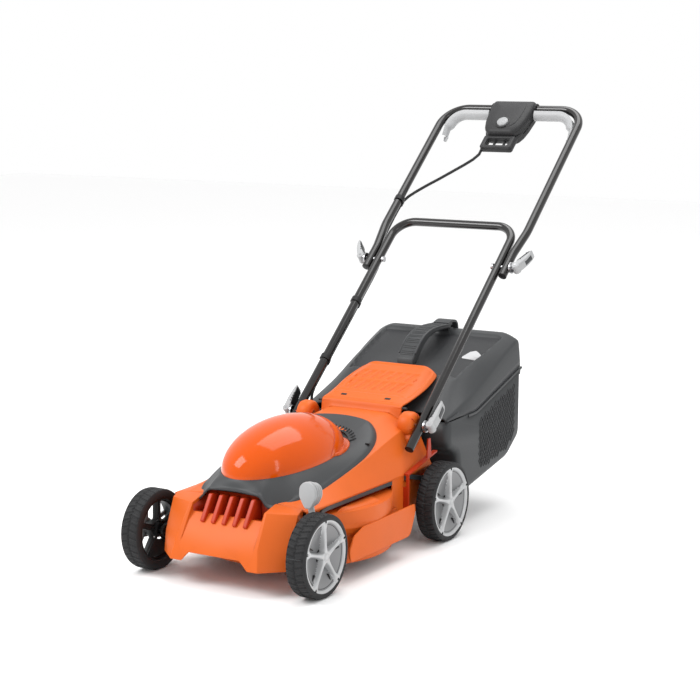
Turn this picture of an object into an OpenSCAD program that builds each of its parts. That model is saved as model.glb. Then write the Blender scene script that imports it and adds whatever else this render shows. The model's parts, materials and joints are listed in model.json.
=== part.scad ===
// Walk-behind electric rotary lawn mower with a rear grass box.
// Millimetres. +Z is up, the front of the mower faces -Y, and the origin is on the
// ground at the centre of the machine's length and width.

/* [Wheels] */
// Diameter of the front wheels
front_wheel_d = 166; // [160:2:180]
// Diameter of the rear wheels
rear_wheel_d = 172; // [166:2:186]
// Distance from the front wheel centres to the rear wheel centres
wheelbase = 500; // [490:5:520]
// Width over the front wheels
front_track = 438; // [434:2:450]
// Width over the rear wheels
rear_track = 446; // [442:2:460]
// Width of each tyre
tyre_w = 43; // [38:1:44]

/* [Deck] */
// Distance of the motor and blade axis behind the front wheel centres
motor_y = 232; // [230:1:236]
// Outer radius of the round blade chamber
chamber_r = 200; // [196:1:202]
// Cutting width of the blade
blade_l = 380; // [340:5:384]
// Wall thickness of the moulded covers
wall = 4; // [3:0.5:5]

/* [Handle] */
// Slope of the handle above the horizontal, in degrees
handle_angle = 40.7; // [39:0.1:42]
// Length of the handle from its pivot to the middle of its bar
bar_at = 1001; // [960:1:1010]
// Outer diameter of the handle tubes
tube_d = 20; // [19:0.5:22]
// Distance of each lower tube from the middle of the mower
lower_x = 158; // [156:1:160]
// Distance of each upper tube from the middle, above its bend
upper_x = 188; // [186:1:196]

/* [Grass box] */
// Half of the grass box's width
box_x = 188; // [180:1:192]
// Thickness of the grass box's walls
box_wall = 3; // [2:0.5:4]

/* [Hidden] */
$fn = 48;

orange = [1.0, 0.36, 0.10];
deep_orange = [0.80, 0.16, 0.03];
gloss_orange = [1.0, 0.30, 0.02];
slate = [0.26, 0.27, 0.27];
black = [0.07, 0.07, 0.07];
silver = [0.80, 0.80, 0.79];
steel = [0.62, 0.62, 0.64];

// Ends of the machine, measured from the front wheel centres.
nose_y = -front_wheel_d / 2;
tube_r = tube_d / 2;
box_back = 14;
box_depth = 22;
eps = 0.05;

// Wheel centres at rest, and the cranks that carry them.
front_r = front_wheel_d / 2;
rear_r = rear_wheel_d / 2;
front_wheel_x = front_track / 2 - tyre_w;
rear_wheel_x = rear_track / 2 - tyre_w;
crank_y = 46;
crank_lift = 2;
pin_y = 14;
pin_z = 28;
arm_t = 6;
arm_x = 163.5;
shaft_r = 6;
pin_r = 3.5;
rod_x = 155.5;
rod_t = 5;
rod_z = 149.8;
rod_half = 4.4;
bush_in = 116;
bush_out = 150;
run_gap = 0.06;

// Blade chamber and motor.
chamber_top = 136;
chamber_bottom = 30;
chamber_wall = 4.5;
motor_hole_r = 30;
can_r = 54;
can_bottom = 142;
can_h = 86;
shaft_gap = 0.08;

// Discharge chute, from the chamber's roof up to the grass box's mouth.
chute_x = 100;
chute_wall = 3;
chute_front = 335;
chute_back = 543;

// Sections of the upper deck: [distance from the front axle, half width at the top,
// height at the edge, height at the middle].
deck_sections = [[26, 128, 163, 168], [138, 132, 180, 186], [300, 132, 211, 226],
  [430, 128, 238, 262], [520, 122, 246, 272]];
dome_tilt = 4.5;
dome_y = 185;
dome_z = 219;
dome_half = [100, 174, 84];
deck_flange_x = 163;
deck_flange_z = 158;

// Handle pivot on the deck, and the joint between the two handles.
pivot_y = 478;
pivot_z = 250;
knuckle_r = 26;
knuckle_in = 113;
knuckle_out = 147.5;
lower_end = -66;
joint_at = 472;
crossbar_at = 599;
lower_bend = 50;
upper_bend = 64;
upper_low_x = lower_x + tube_d + 2;
tail_y = pivot_y + (bar_at + box_back) * cos(handle_angle) + box_depth * sin(handle_angle);
mid_y = (nose_y + tail_y) / 2;
bolt_r = 4;
washer_t = 5;
cam_r = 9;
cam_pin_r = 3;
cam_x = washer_t + 0.4 + cam_r + 0.4;
tube_wall = 1.5;
offset_start = joint_at + 36;
offset_end = joint_at + 106;
sleeve_lap = 6;

// Switch box, relative to the middle of the handle bar.
button_a = -72;
inlet_x = 20;
inlet_r = 4.5;
button_r = 14;
bail_a = -14;
bail_r = 14;
bail_spindle_r = 3.5;
bail_open = 17;

// Rear flap hinge.
hinge_y = 498;
hinge_z = 279;
hinge_pin_r = 3;

// Cable clipped along the left tubes: [x, along the handle from the pivot, above it].
cable_r = 3.5;
under = -tube_r - cable_r - 0.4;
upper_cable_route = [[-40, bar_at - 144, -5], [-42, bar_at - 156, -8],
  [-54, bar_at - 170, -12], [-72, bar_at - 190, -13], [-96, bar_at - 214, -14],
  [-122, bar_at - 240, -15], [-146, bar_at - 264, -15], [-164, bar_at - 284, -15],
  [-178, bar_at - 304, under], [-186, bar_at - 322, under], [-188, bar_at - 350, under],
  [-188, bar_at - 380, under], [-187, offset_end - 16, under - 1], [-182, offset_end - 40, under - 1],
  [-176, offset_end - 66, under - 1], [-171, joint_at + 20, under]];
lower_cable_route = [[-161, joint_at - 3, under], [-159, joint_at - 20, under],
  [-158, joint_at - 50, under], [-158, 360, under], [-158, 300, under], [-158, 240, under],
  [-158, 180, under], [-158, 120, under], [-158, 84, under], [-156, 66, -15],
  [-151, 50, -17], [-145, 38, -20], [-141, 28, -25], [-140, 20, -32]];

module placed() {
  translate([0, -mid_y, 0]) children();
}

module both_sides() {
  children();
  mirror([1, 0, 0]) children();
}

// A cylinder along +X from x0 to x1 at (y, z).
module x_rod(x0, x1, y, z, r) {
  translate([x0, y, z]) rotate([0, 90, 0]) cylinder(h = x1 - x0, r = r);
}

// An outline drawn in (y, z), drawn out along X from x0 to x1.
module x_slab(x0, x1, outline) {
  translate([x0, 0, 0]) rotate([90, 0, 90]) linear_extrude(x1 - x0) polygon(outline);
}

// An ellipse with half axes rx and ry.
function ellipse(rx, ry) = [for (a = [0:5:355]) [rx * cos(a), ry * sin(a)]];

// The handle's own frame: +Y along the tubes from the pivot, +Z square to them.
module on_handle(along = 0) {
  translate([0, pivot_y, pivot_z]) rotate([handle_angle, 0, 0]) translate([0, along, 0]) children();
}

// ---- Deck ----

module lower_deck() {
  color(orange) difference() {
    union() {
      translate([0, motor_y, chamber_bottom])
        cylinder(h = chamber_top - chamber_bottom, r = chamber_r, $fn = 128);
      translate([-146, 30, chamber_top - wall - 1]) cube([292, 400, wall + 1]);
      both_sides() front_cheek();
      both_sides() rear_cheek();
    }
    translate([0, motor_y, chamber_bottom - 1])
      cylinder(h = chamber_top - wall - chamber_bottom, r = chamber_r - chamber_wall, $fn = 128);
    translate([0, motor_y, chamber_bottom]) cylinder(h = 200, r = motor_hole_r);
    translate([-chute_x, chute_front, chamber_top - 20]) cube([2 * chute_x, 84, 60]);
    both_sides() x_rod(bush_in - 10, 170, crank_y, front_r + crank_lift, shaft_r + 3);
    both_sides() x_rod(bush_in - 10, 170, wheelbase + crank_y, rear_r + crank_lift, shaft_r + 3);
  }
}

module front_cheek() {
  translate([bush_in, 30, 62]) cube([bush_out - bush_in, 36, chamber_top - 62 - 1]);
}

module rear_cheek() {
  difference() {
    translate([bush_in, 395, 62]) cube([bush_out - bush_in, 175, chamber_top - 62]);
    translate([bush_in - 1, 385, 55]) cube([bush_out - bush_in - 5, 135, 64]);
  }
}

module discharge_chute() {
  color(slate) difference() {
    x_slab(-chute_x, chute_x, [[chute_front + 1, 136.5], [436, 136.5], [436, 104],
      [chute_back, 132], [chute_back, 262], [505, 262], [400, 218]]);
    x_slab(-chute_x + chute_wall, chute_x - chute_wall, [[chute_front + 8, 130],
      [440, 130], [440, 108], [chute_back + 5, 136], [chute_back + 5, 258],
      [506, 258], [402, 214]]);
  }
}

module deck_slice(s, inset) {
  translate([0, s[0], 0]) rotate([90, 0, 0]) linear_extrude(0.2) polygon([
    [-146 + inset, chamber_top + eps], [-deck_flange_x + inset, deck_flange_z],
    [-s[1] + inset, s[2] - inset], [-s[1] * 0.6, s[3] - inset], [s[1] * 0.6, s[3] - inset],
    [s[1] - inset, s[2] - inset], [deck_flange_x - inset, deck_flange_z],
    [146 - inset, chamber_top + eps]]);
}

module deck_form(inset = 0, lift = 0) {
  translate([0, 0, lift]) for (i = [0:2:len(deck_sections) - 3]) hull() {
    deck_slice(deck_sections[i], inset);
    deck_slice(deck_sections[i + 1], inset);
    deck_slice(deck_sections[i + 2], inset);
  }
}

module deck_shell() {
  color(orange) difference() {
    deck_form();
    translate([0, 0, -0.5]) intersection() {
      deck_form(wall);
      translate([-200, 30, 100]) cube([400, 560, 300]);
    }
    both_sides() translate([150.5, 0, 120]) cube([40, 600, deck_flange_z - 120]);
    both_sides() x_rod(knuckle_in - 1, 170, pivot_y, pivot_z, knuckle_r + 0.3);
    both_sides() translate([147.6, 380, 180]) cube([40, 160, 100]);
    translate([0, dome_y, 150]) linear_extrude(200) polygon(ellipse(104, 178));
    x_slab(-chute_x - 0.5, chute_x + 0.5, [[380, 100], [600, 100], [600, 262.4], [505, 262.4],
      [399, 218.4], [380, 205]]);
    translate([-104, hinge_y - 8, 260]) cube([208, 60, 40]);
    translate([-88, 0, 150]) cube([176, 40, 60]);
  }
}

module fascia_slice(z, front, side_y, half, inset) {
  translate([0, 0, z]) linear_extrude(0.2) polygon([
    [-half + inset, front + inset], [half - inset, front + inset], [150 - inset, side_y + inset],
    [150 - inset, 25], [-150 + inset, 25], [-150 + inset, side_y + inset]]);
}

module fascia_form(inset = 0) {
  hull() {
    fascia_slice(50, -70, -28, 104, inset);
    fascia_slice(94, -57, -22, 97, inset);
  }
  hull() {
    fascia_slice(94, -57, -22, 97, inset);
    fascia_slice(157 - inset, -16, 8, 89, inset);
  }
}

module front_fascia() {
  color(orange) difference() {
    fascia_form();
    difference() {
      translate([0, 0, -0.01]) fascia_form(wall);
      translate([-200, -100, 157 - wall]) cube([400, 200, 20]);
    }
    translate([-140, 10, 45]) cube([280, 30, 108]);
    rotate([90, 0, 0]) linear_extrude(200, center = true)
      polygon([[-80, 40], [-80, 50], [-62, 69], [62, 69], [80, 50], [80, 40]]);
    translate([-86, -44, 124]) rotate([-33, 0, 0]) translate([0, -6, 0]) cube([172, 80, 80]);
  }
}

module vent_fins() {
  color(deep_orange) {
    for (i = [-2:2]) x_slab(i * 25.5 - 3.5, i * 25.5 + 3.5,
      [[-33, 127], [-25, 120], [22, 132], [22, 174], [-3, 174]]);
    translate([-84, 20, 112]) cube([168, 4, 48]);
  }
}

module shroud_outline() {
  polygon([[-84, 4], [84, 4], [118, 60], [130, 138], [130, 250],
    [122, 330], [104, 385], [70, 412], [0, 424], [-70, 412], [-104, 385], [-122, 330],
    [-130, 250], [-130, 138], [-118, 60]]);
}

// The shroud's front rises from the lip over the fins to the rim of the dome.
module shroud_collar(inset = 0, drop = 0) {
  hull() {
    translate([0, dome_y, dome_z - drop]) rotate([dome_tilt, 0, 0]) translate([0, 0, -4])
      linear_extrude(4) polygon(ellipse(dome_half[0] + 3.5, dome_half[1] + 3.5));
    translate([0, 0, 186 - drop]) linear_extrude(0.5) offset(delta = -inset) shroud_outline();
  }
}

module motor_shroud() {
  color(slate) difference() {
    union() {
      intersection() {
        translate([0, 0, 100]) linear_extrude(260) shroud_outline();
        deck_form(0, 13);
        translate([-200, 26.5, 100]) cube([400, 500, 260]);
      }
      difference() {
        shroud_collar();
        shroud_collar(3, 3.5);
      }
    }
    deck_form(0, 0.3);
    translate([0, dome_y, 120]) linear_extrude(300)
      polygon(ellipse(dome_half[0] + 0.8, dome_half[1] + 0.8));
    translate([0, 26.5, 0]) rotate([90, 0, 0]) linear_extrude(80) polygon([[-200, 100], [-200, 163],
      [-88, 163], [-58, 186], [58, 186], [88, 163], [200, 163], [200, 100]]);
  }
}

module dome_form(inset) {
  translate([0, dome_y, dome_z]) rotate([dome_tilt, 0, 0])
    scale([dome_half[0] - inset, dome_half[1] - inset, dome_half[2] - inset]) sphere(r = 1, $fn = 40);
}

module motor_dome() {
  color(gloss_orange) difference() {
    hull() dome_form(0);
    hull() dome_form(3);
    translate([0, dome_y, dome_z]) rotate([dome_tilt, 0, 0]) translate([-200, -300, -200])
      cube([400, 600, 200]);
  }
}

module motor_can() {
  color(steel) translate([0, motor_y, can_bottom]) difference() {
    union() {
      cylinder(h = can_h, r = can_r);
      translate([0, 0, -can_bottom + chamber_top + eps]) cylinder(h = 8, r = can_r + 14);
    }
    translate([0, 0, 6]) cylinder(h = can_h - 12, r = can_r - 14);
    translate([0, 0, -10]) cylinder(h = can_h + 20, r = 8 + shaft_gap);
    for (a = [45:90:315]) rotate([0, 0, a]) translate([can_r + 7, 0, -10]) cylinder(h = 20, r = 3);
  }
}

module capacitor() {
  color(black) translate([-78, 150, 146]) rotate([-90, 0, 0]) cylinder(h = 62, r = 8.5);
}

module side_skirts() {
  color(orange) both_sides() skirt();
}

module skirt() {
  difference() {
    rotate([0, -6, 0]) translate([0, 0, -20]) x_slab(208, 212, [[112, 22], [106, 30], [112, 52],
      [134, 72], [170, 82], [366, 86], [376, 78], [374, 66], [346, 26], [338, 22]]
      + [for (i = [0:9]) [0, 20]]);
    translate([0, motor_y, 0]) cylinder(h = 200, r = chamber_r + 0.3, $fn = 128);
  }
  difference() {
    translate([150, 150, 76]) cube([52, 190, 4]);
    translate([0, motor_y, 0]) cylinder(h = 200, r = chamber_r + 0.2, $fn = 128);
  }
}

module wheel_arches() {
  color(deep_orange) both_sides() difference() {
    union() {
      x_slab(150.6, 174, [[398, 60], [402, 60], [402, 157.5], [398, 157.5]]);
      x_slab(163.2, 174, [[398, 157], [470, 174], [524, 186], [524, 190], [470, 178], [398, 161]]);
      x_slab(170.5, 174, [[480, 178], [498, 182], [494, 222], [484, 222]]);
    }
    translate([153, 390, 132.5]) cube([14.5, 20, 25]);
  }
}

module handle_knuckles() {
  color(orange) both_sides() difference() {
    x_rod(knuckle_in, knuckle_out, pivot_y, pivot_z, knuckle_r);
    x_rod(knuckle_in - 1, knuckle_out + 1, pivot_y, pivot_z, bolt_r + run_gap);
    x_rod(knuckle_in - 1, knuckle_in + 8, pivot_y, pivot_z, 9);
  }
}

module axle_bushes() {
  color(black) both_sides() {
    for (p = [[crank_y, front_r + crank_lift], [wheelbase + crank_y, rear_r + crank_lift]])
      difference() {
        union() {
          x_rod(bush_in, bush_out, p[0], p[1], shaft_r + 3);
          x_rod(bush_out, bush_out + 2, p[0], p[1], shaft_r + 6);
        }
        x_rod(bush_in - 1, bush_out + 3, p[0], p[1], shaft_r + run_gap);
      }
  }
}

module flap_pin() {
  color(steel) x_rod(-112, 112, hinge_y, hinge_z, hinge_pin_r);
}

module deck_screws() {
  color(steel) {
    for (a = [45:90:315]) translate([0, motor_y, 0]) rotate([0, 0, a])
      translate([can_r + 7, 0, 0]) {
        translate([0, 0, chamber_top + 8.1]) cylinder(h = 4, r = 5, $fn = 6);
        translate([0, 0, chamber_top + 0.1]) cylinder(h = 8.1, r = 2.8);
      }
    both_sides() for (y = [180, 310]) translate([152, y, 80.2]) cylinder(h = 3, r = 4.5);
  }
}

// Gland on the deck's left side, just below the end of the lower cable.
module cable_gland() {
  color(black) translate([-140, 514, 231]) mirror([0, 0, 1]) difference() {
    cylinder(h = 28, r1 = 5.2, r2 = 6.4);
    translate([0, 0, -1]) cylinder(h = 12, r = cable_r);
  }
}

// ---- Blade and motor rotor ----

module motor_shaft() {
  color(steel) translate([0, motor_y, 62]) cylinder(h = can_bottom + can_h + 8 - 62, r = 8);
}

module motor_rotor() {
  color(steel) translate([0, motor_y, 0]) difference() {
    union() {
      translate([0, 0, can_bottom + 12]) cylinder(h = can_h - 30, r = can_r - 16);
      translate([0, 0, can_bottom + can_h + 1]) fan_disc();
    }
    cylinder(h = 400, r = 8);
  }
}

module fan_disc() {
  cylinder(h = 3, r = 44);
  for (a = [0:45:315]) rotate([0, 0, a]) translate([14, -1, 3]) cube([28, 2, 8]);
  cylinder(h = 8, r = 14);
}

module blade_carrier() {
  color(black) translate([0, motor_y, 0]) difference() {
    union() {
      translate([0, 0, 58]) cylinder(h = 12, r = 36);
      translate([0, 0, 70]) cylinder(h = 26, r = 18);
    }
    translate([0, 0, 62]) cylinder(h = 60, r = 8);
    translate([0, 0, 50]) cylinder(h = 20, r = 5);
  }
}

module blade() {
  half = blade_l / 2;
  color(steel) translate([0, motor_y, 53]) difference() {
    union() {
      translate([55 - half, -24, 0]) cube([blade_l - 110, 48, 4]);
      for (a = [0, 180]) rotate([0, 0, a])
        x_slab(half - 58, half - 2, [[-24, 0], [2, 0], [22, 9], [21, 12.5], [1, 4], [-24, 4]]);
    }
    translate([0, 0, -1]) cylinder(h = 10, r = 5);
  }
}

module blade_bolt() {
  color(steel) translate([0, motor_y, 0]) {
    translate([0, 0, 44]) cylinder(h = 9, r = 11, $fn = 6);
    translate([0, 0, 44]) cylinder(h = 18, r = 5);
  }
}

// ---- Height adjustment ----

// Crank at one side: pivot shaft, arm, wheel stub and the pin for the link rod.
module crank(y, z, wheel_x, shaft_in) {
  stub_end = wheel_x + tyre_w - 8;
  difference() {
    union() {
      x_rod(shaft_in, arm_x + 1, y + crank_y, z + crank_lift, shaft_r);
      hull() {
        x_rod(arm_x, arm_x + arm_t, y + crank_y, z + crank_lift, 13);
        x_rod(arm_x, arm_x + arm_t, y, z, 13);
      }
      hull() {
        x_rod(arm_x, arm_x + arm_t, y + crank_y, z + crank_lift, 9);
        x_rod(arm_x, arm_x + arm_t, y + crank_y + pin_y, z + crank_lift + pin_z, 7);
      }
      x_rod(arm_x, stub_end, y, z, shaft_r);
      x_rod(rod_x - 2, arm_x + 1, y + crank_y + pin_y, z + crank_lift + pin_z, pin_r);
    }
  }
}

module front_crank_right() {
  color(black) crank(0, front_r, front_wheel_x, bush_in - 6);
}

module front_crank_left() {
  color(black) mirror([1, 0, 0]) crank(0, front_r, front_wheel_x, bush_in - 6);
}

module rear_axle() {
  color(black) {
    both_sides() crank(wheelbase, rear_r, rear_wheel_x, 50);
    x_rod(-51, 51, wheelbase + crank_y, rear_r + crank_lift, shaft_r);
  }
}

// Lever with a spoon-shaped head that stands up beside the right front wheel.
module height_lever() {
  color(silver) {
    hull() {
      translate([arm_x + 1, 22, 100]) cube([arm_t - 1, 18, 4]);
      translate([arm_x + 1, 22, 178]) cube([8, 14, 4]);
    }
    for (i = [0:3]) hull() {
      translate([167, 12 + 10 * i, 200 - i]) rotate([-90, 0, 0])
        cylinder(h = i == 0 ? 10 : 6, r = 18 - i, $fn = 32);
      translate([165, 14 + 7 * i, 178]) cube([6, 6, 4]);
    }
    translate([163, 14, 184]) cube([8, 30, 28]);
  }
}

// Link rod between the pins of a front and a rear crank.
module link_rod() {
  fy = crank_y + pin_y;
  fz = front_r + crank_lift + pin_z;
  ry = wheelbase + crank_y + pin_y;
  rz = rear_r + crank_lift + pin_z;
  difference() {
    union() {
      x_rod(rod_x, rod_x + rod_t, fy, fz, 7.5);
      x_rod(rod_x, rod_x + rod_t, ry, rz, 7.5);
      x_slab(rod_x, rod_x + rod_t, [[fy - 6.5, fz + 3], [fy + 5, fz - 5], [fy + 26, rod_z - rod_half - 1],
        [fy + 42, rod_z - rod_half], [420, rod_z - rod_half], [ry, rz - 6], [ry, rz + 6],
        [424, rod_z + rod_half], [fy + 36, rod_z + rod_half], [fy + 17, rod_z + 1]]);
    }
    x_rod(rod_x - 1, rod_x + rod_t + 1, fy, fz, pin_r + run_gap);
    x_rod(rod_x - 1, rod_x + rod_t + 1, ry, rz, pin_r + 0.4);
  }
}

module link_rod_right() {
  color(slate) link_rod();
}

module link_rod_left() {
  color(slate) mirror([1, 0, 0]) link_rod();
}

// ---- Wheels ----

// Runs its children with a wheel's own frame: the axle along +X, from the inner face out.
module at_wheel(front, right) {
  y = front ? 0 : wheelbase;
  z = front ? front_r : rear_r;
  x = front ? front_wheel_x : rear_wheel_x;
  mirror([right ? 0 : 1, 0, 0]) translate([x, y, z]) rotate([0, 90, 0]) children();
}

module tyre(r) {
  rotate_extrude($fn = 128) polygon([[r - 17, 0], [r - 4, 0], [r, 4], [r, tyre_w - 4],
    [r - 4, tyre_w], [r - 15, tyre_w], [r - 17, tyre_w - 3]]);
}

module rim(r) {
  difference() {
    union() {
      rotate_extrude($fn = 128) polygon([[r - 24, 2], [r - 17.1, 2], [r - 17.1, tyre_w - 4],
        [r - 24, tyre_w - 4]]);
      translate([0, 0, 2]) cylinder(h = tyre_w - 12, r = 15);
      for (a = [0:72:288]) rotate([0, 0, a]) translate([12, -7, 4]) cube([r - 34, 14, 14]);
    }
    translate([0, 0, -1]) cylinder(h = tyre_w + 2, r = shaft_r + run_gap);
  }
}

// Five-spoke trim with forked spokes and a centre cap.
module wheel_cap(r) {
  rim_r = r - 17.2;
  union() {
    translate([0, 0, tyre_w - 3.9]) difference() {
      cylinder(h = 3.4, r = rim_r);
      translate([0, 0, -1]) cylinder(h = 6, r = rim_r - 5);
    }
    for (a = [0:72:288]) rotate([0, 0, a]) translate([8, -3, tyre_w - 3.9]) cube([rim_r - 11, 6, 3.4]);
    difference() {
      translate([0, 0, tyre_w - 7.5]) cylinder(h = 8, r = 11);
      translate([0, 0, tyre_w - 8]) cylinder(h = 4, r = 7);
    }
  }
}

module tyre_front_right() { color(black) at_wheel(true, true) tyre(front_r); }
module rim_front_right() { color(black) at_wheel(true, true) rim(front_r); }
module cap_front_right() { color(silver) at_wheel(true, true) wheel_cap(front_r); }
module tyre_front_left() { color(black) at_wheel(true, false) tyre(front_r); }
module rim_front_left() { color(black) at_wheel(true, false) rim(front_r); }
module cap_front_left() { color(silver) at_wheel(true, false) wheel_cap(front_r); }
module tyre_rear_right() { color(black) at_wheel(false, true) tyre(rear_r); }
module rim_rear_right() { color(black) at_wheel(false, true) rim(rear_r); }
module cap_rear_right() { color(silver) at_wheel(false, true) wheel_cap(rear_r); }
module tyre_rear_left() { color(black) at_wheel(false, false) tyre(rear_r); }
module rim_rear_left() { color(black) at_wheel(false, false) rim(rear_r); }
module cap_rear_left() { color(silver) at_wheel(false, false) wheel_cap(rear_r); }

// ---- Handles ----

// A straight piece of tube along the handle, from a to b.
module leg(x, a, b) {
  translate([x, a, 0]) rotate([-90, 0, 0]) difference() {
    cylinder(h = b - a, r = tube_r);
    translate([0, 0, -1]) cylinder(h = b - a + 2, r = tube_r - tube_wall);
  }
}

// A quarter bend from a leg at x to a crossbar at height top.
module corner(x, top, bend) {
  translate([x - bend, top - bend, 0]) rotate_extrude(angle = 90) translate([bend, 0]) difference() {
    circle(r = tube_r);
    circle(r = tube_r - tube_wall);
  }
}

module crossbar(half, top) {
  translate([-half, top, 0]) rotate([0, 90, 0]) difference() {
    cylinder(h = 2 * half, r = tube_r);
    translate([0, 0, -1]) cylinder(h = 2 * half + 2, r = tube_r - tube_wall);
  }
}

module lower_tube() {
  color(slate) on_handle() difference() {
    union() {
      both_sides() leg(lower_x, lower_end, crossbar_at - lower_bend);
      both_sides() corner(lower_x, crossbar_at, lower_bend);
      crossbar(lower_x - lower_bend, crossbar_at);
    }
    both_sides() x_rod(lower_x - 20, lower_x + 20, 0, 0, bolt_r);
    both_sides() x_rod(lower_x - 20, lower_x + 20, joint_at, 0, bolt_r);
  }
}

// The slanting stretch that carries an upper leg out to its full width: a swaged sleeve, a little
// thicker than the tube and narrower in the bore, with the ends of both straight legs inside it.
module offset_sleeve() {
  lean = atan((upper_x - upper_low_x) / (offset_end - offset_start));
  length = norm([upper_x - upper_low_x, offset_end - offset_start]) + 2 * sleeve_lap;
  translate([(upper_low_x + upper_x) / 2, (offset_start + offset_end) / 2, 0])
    rotate([0, 0, -lean]) rotate([90, 0, 0]) difference() {
      cylinder(h = length, r = tube_r + 0.8, center = true);
      cylinder(h = length + 1, r = tube_r - 3, center = true);
    }
}

module upper_tube() {
  color(slate) on_handle() difference() {
    union() {
      both_sides() {
        leg(upper_low_x, joint_at - 28, offset_start);
        offset_sleeve();
        leg(upper_x, offset_end, bar_at - upper_bend);
        corner(upper_x, bar_at, upper_bend);
      }
      crossbar(upper_x - upper_bend, bar_at);
    }
    both_sides() x_rod(upper_low_x - 20, upper_low_x + 20, joint_at, 0, bolt_r + run_gap);
  }
}

// Washer and cross pin that a cam lever turns on, outside a tube whose outer side is at x.
module clamp_seat(x) {
  x_rod(x + 0.4, x + washer_t + 0.4, 0, 0, 13);
  translate([x + cam_x, 0, -12.4]) cylinder(h = 24.8, r = cam_pin_r);
}

module pivot_bolts() {
  color(steel) on_handle() both_sides() {
    x_rod(knuckle_in + 0.5, lower_x + tube_r + cam_x + 2, 0, 0, bolt_r);
    x_rod(knuckle_in + 0.5, knuckle_in + 7, 0, 0, 7);
    clamp_seat(lower_x + tube_r);
  }
}

module joint_bolts() {
  color(steel) on_handle(joint_at) both_sides() {
    x_rod(lower_x - tube_r - 5, upper_low_x + tube_r + cam_x + 2, 0, 0, bolt_r);
    x_rod(lower_x - tube_r - 6, lower_x - tube_r - 0.3, 0, 0, 7);
    clamp_seat(upper_low_x + tube_r);
  }
}

// Cam lever on a cross pin: x is the tube's outer side, tilt its lean outward.
module clamp_lever(x, at, tilt, reach) {
  on_handle(at) translate([x + cam_x, 0, 0]) difference() {
    union() {
      translate([0, 0, -12]) cylinder(h = 24, r = cam_r);
      rotate([0, 0, -tilt]) hull() {
        translate([1, 10, -12]) cylinder(h = 24, r = 7, $fn = 32);
        translate([3, reach, -8]) cylinder(h = 16, r = 4, $fn = 32);
        translate([1, 30, -12]) cylinder(h = 24, r = 5.5, $fn = 32);
      }
    }
    translate([-15, -15, -bolt_r - 0.8]) cube([22, 22, 2 * bolt_r + 1.6]);
    translate([0, 0, -15]) cylinder(h = 30, r = cam_pin_r + run_gap);
  }
}

module lower_clamp_right() {
  color(silver) clamp_lever(lower_x + tube_r, 0, 0, 62);
}

module lower_clamp_left() {
  color(silver) mirror([1, 0, 0]) clamp_lever(lower_x + tube_r, 0, 0, 62);
}

module upper_clamp_right() {
  color(silver) clamp_lever(upper_low_x + tube_r, joint_at, 24, 50);
}

module upper_clamp_left() {
  color(silver) mirror([1, 0, 0]) clamp_lever(upper_low_x + tube_r, joint_at, 24, 50);
}

// ---- Cable ----

function unit(v) = v / norm(v);
function tangent(path, i) = unit(path[min(i + 1, len(path) - 1)] - path[max(i - 1, 0)]);
function ring(path, i, r, sides) = let (
    t = tangent(path, i),
    a = unit(cross(t, [0, 0, 1])),
    b = cross(a, t))
  [for (k = [0:sides - 1]) path[i] + r * (cos(360 * k / sides) * a + sin(360 * k / sides) * b)];

// A round cord swept along the points of a path.
module cord(path, r, sides = 8) {
  n = len(path);
  points = [for (i = [0:n - 1]) each ring(path, i, r, sides)];
  walls = [for (i = [0:n - 2], k = [0:sides - 1]) [i * sides + k, i * sides + (k + 1) % sides,
    (i + 1) * sides + (k + 1) % sides, (i + 1) * sides + k]];
  first = [[for (k = [sides - 1:-1:0]) k]];
  last = [[for (k = [0:sides - 1]) (n - 1) * sides + k]];
  polyhedron(points, concat(walls, first, last));
}

module upper_cable() {
  color(black) on_handle() {
    cord(upper_cable_route, cable_r);
    cable_clip(upper_x, bar_at - 336);
  }
}

module lower_cable() {
  color(black) on_handle() {
    cord(lower_cable_route, cable_r);
    for (at = [152, 330]) cable_clip(lower_x, at);
  }
}

// A band round the left tube that holds the cable against it.
module cable_clip(x, at) {
  translate([-x, at, 0]) rotate([-90, 0, 0]) difference() {
    union() {
      cylinder(h = 12, r = tube_r + 2.5);
      translate([0, -under, 0]) cylinder(h = 12, r = cable_r + 2);
    }
    translate([0, 0, -1]) cylinder(h = 14, r = tube_r + 0.02);
    translate([0, -under, -1]) cylinder(h = 14, r = cable_r + 0.02);
  }
}

// ---- Switch box ----

module switch_outline() {
  polygon([[-55, box_back], [55, box_back], [59, 4], [59, -28], [55, -62], [50, -84], [43, -102],
    [43, -146], [-43, -146], [-43, -102], [-50, -84], [-55, -62], [-59, -28], [-59, 4]]);
}

// Cavity inside the box, short of the cord-relief frame at its lower end.
module switch_cavity() {
  polygon([[-56, box_back - 3], [56, box_back - 3], [56, -28], [52, -62], [47, -84], [40, -98],
    [-40, -98], [-47, -84], [-52, -62], [-56, -28]]);
}

// Lower or upper half of the box, from height low to height high.
module switch_shell(low, high, floor_at, roof_at) {
  difference() {
    translate([0, 0, low]) linear_extrude(high - low) difference() {
      switch_outline();
      translate([-30, -136]) square([60, 24]);
    }
    translate([0, 0, floor_at]) linear_extrude(roof_at - floor_at) switch_cavity();
    x_rod(-80, 80, 0, 0, tube_r + 0.02);
    x_rod(-80, 80, bail_a, 0, bail_spindle_r + run_gap);
  }
}

module switch_cover() {
  color(slate) on_handle(bar_at) difference() {
    switch_shell(0.05, 24, 0, 21);
    translate([0, button_a, 18]) cylinder(h = 10, r = button_r + 0.3);
    translate([-80, -160, 8]) cube([160, 56, 30]);
  }
}

module switch_base() {
  color(slate) on_handle(bar_at) difference() {
    switch_shell(-box_depth, 0, 3 - box_depth, 1);
    translate([-80, -160, -box_depth - 10]) cube([160, 56, box_depth]);
    translate([-40, -150, -5]) rotate([-90, 0, 0]) cylinder(h = 8, r = cable_r + 0.4);
    translate([inlet_x, -112, -9]) rotate([-90, 0, 0]) cylinder(h = 20, r = inlet_r);
  }
}

module micro_switch() {
  color(black) on_handle(bar_at) translate([-16, -92, -18.9]) cube([32, 36, 20]);
}

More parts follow.
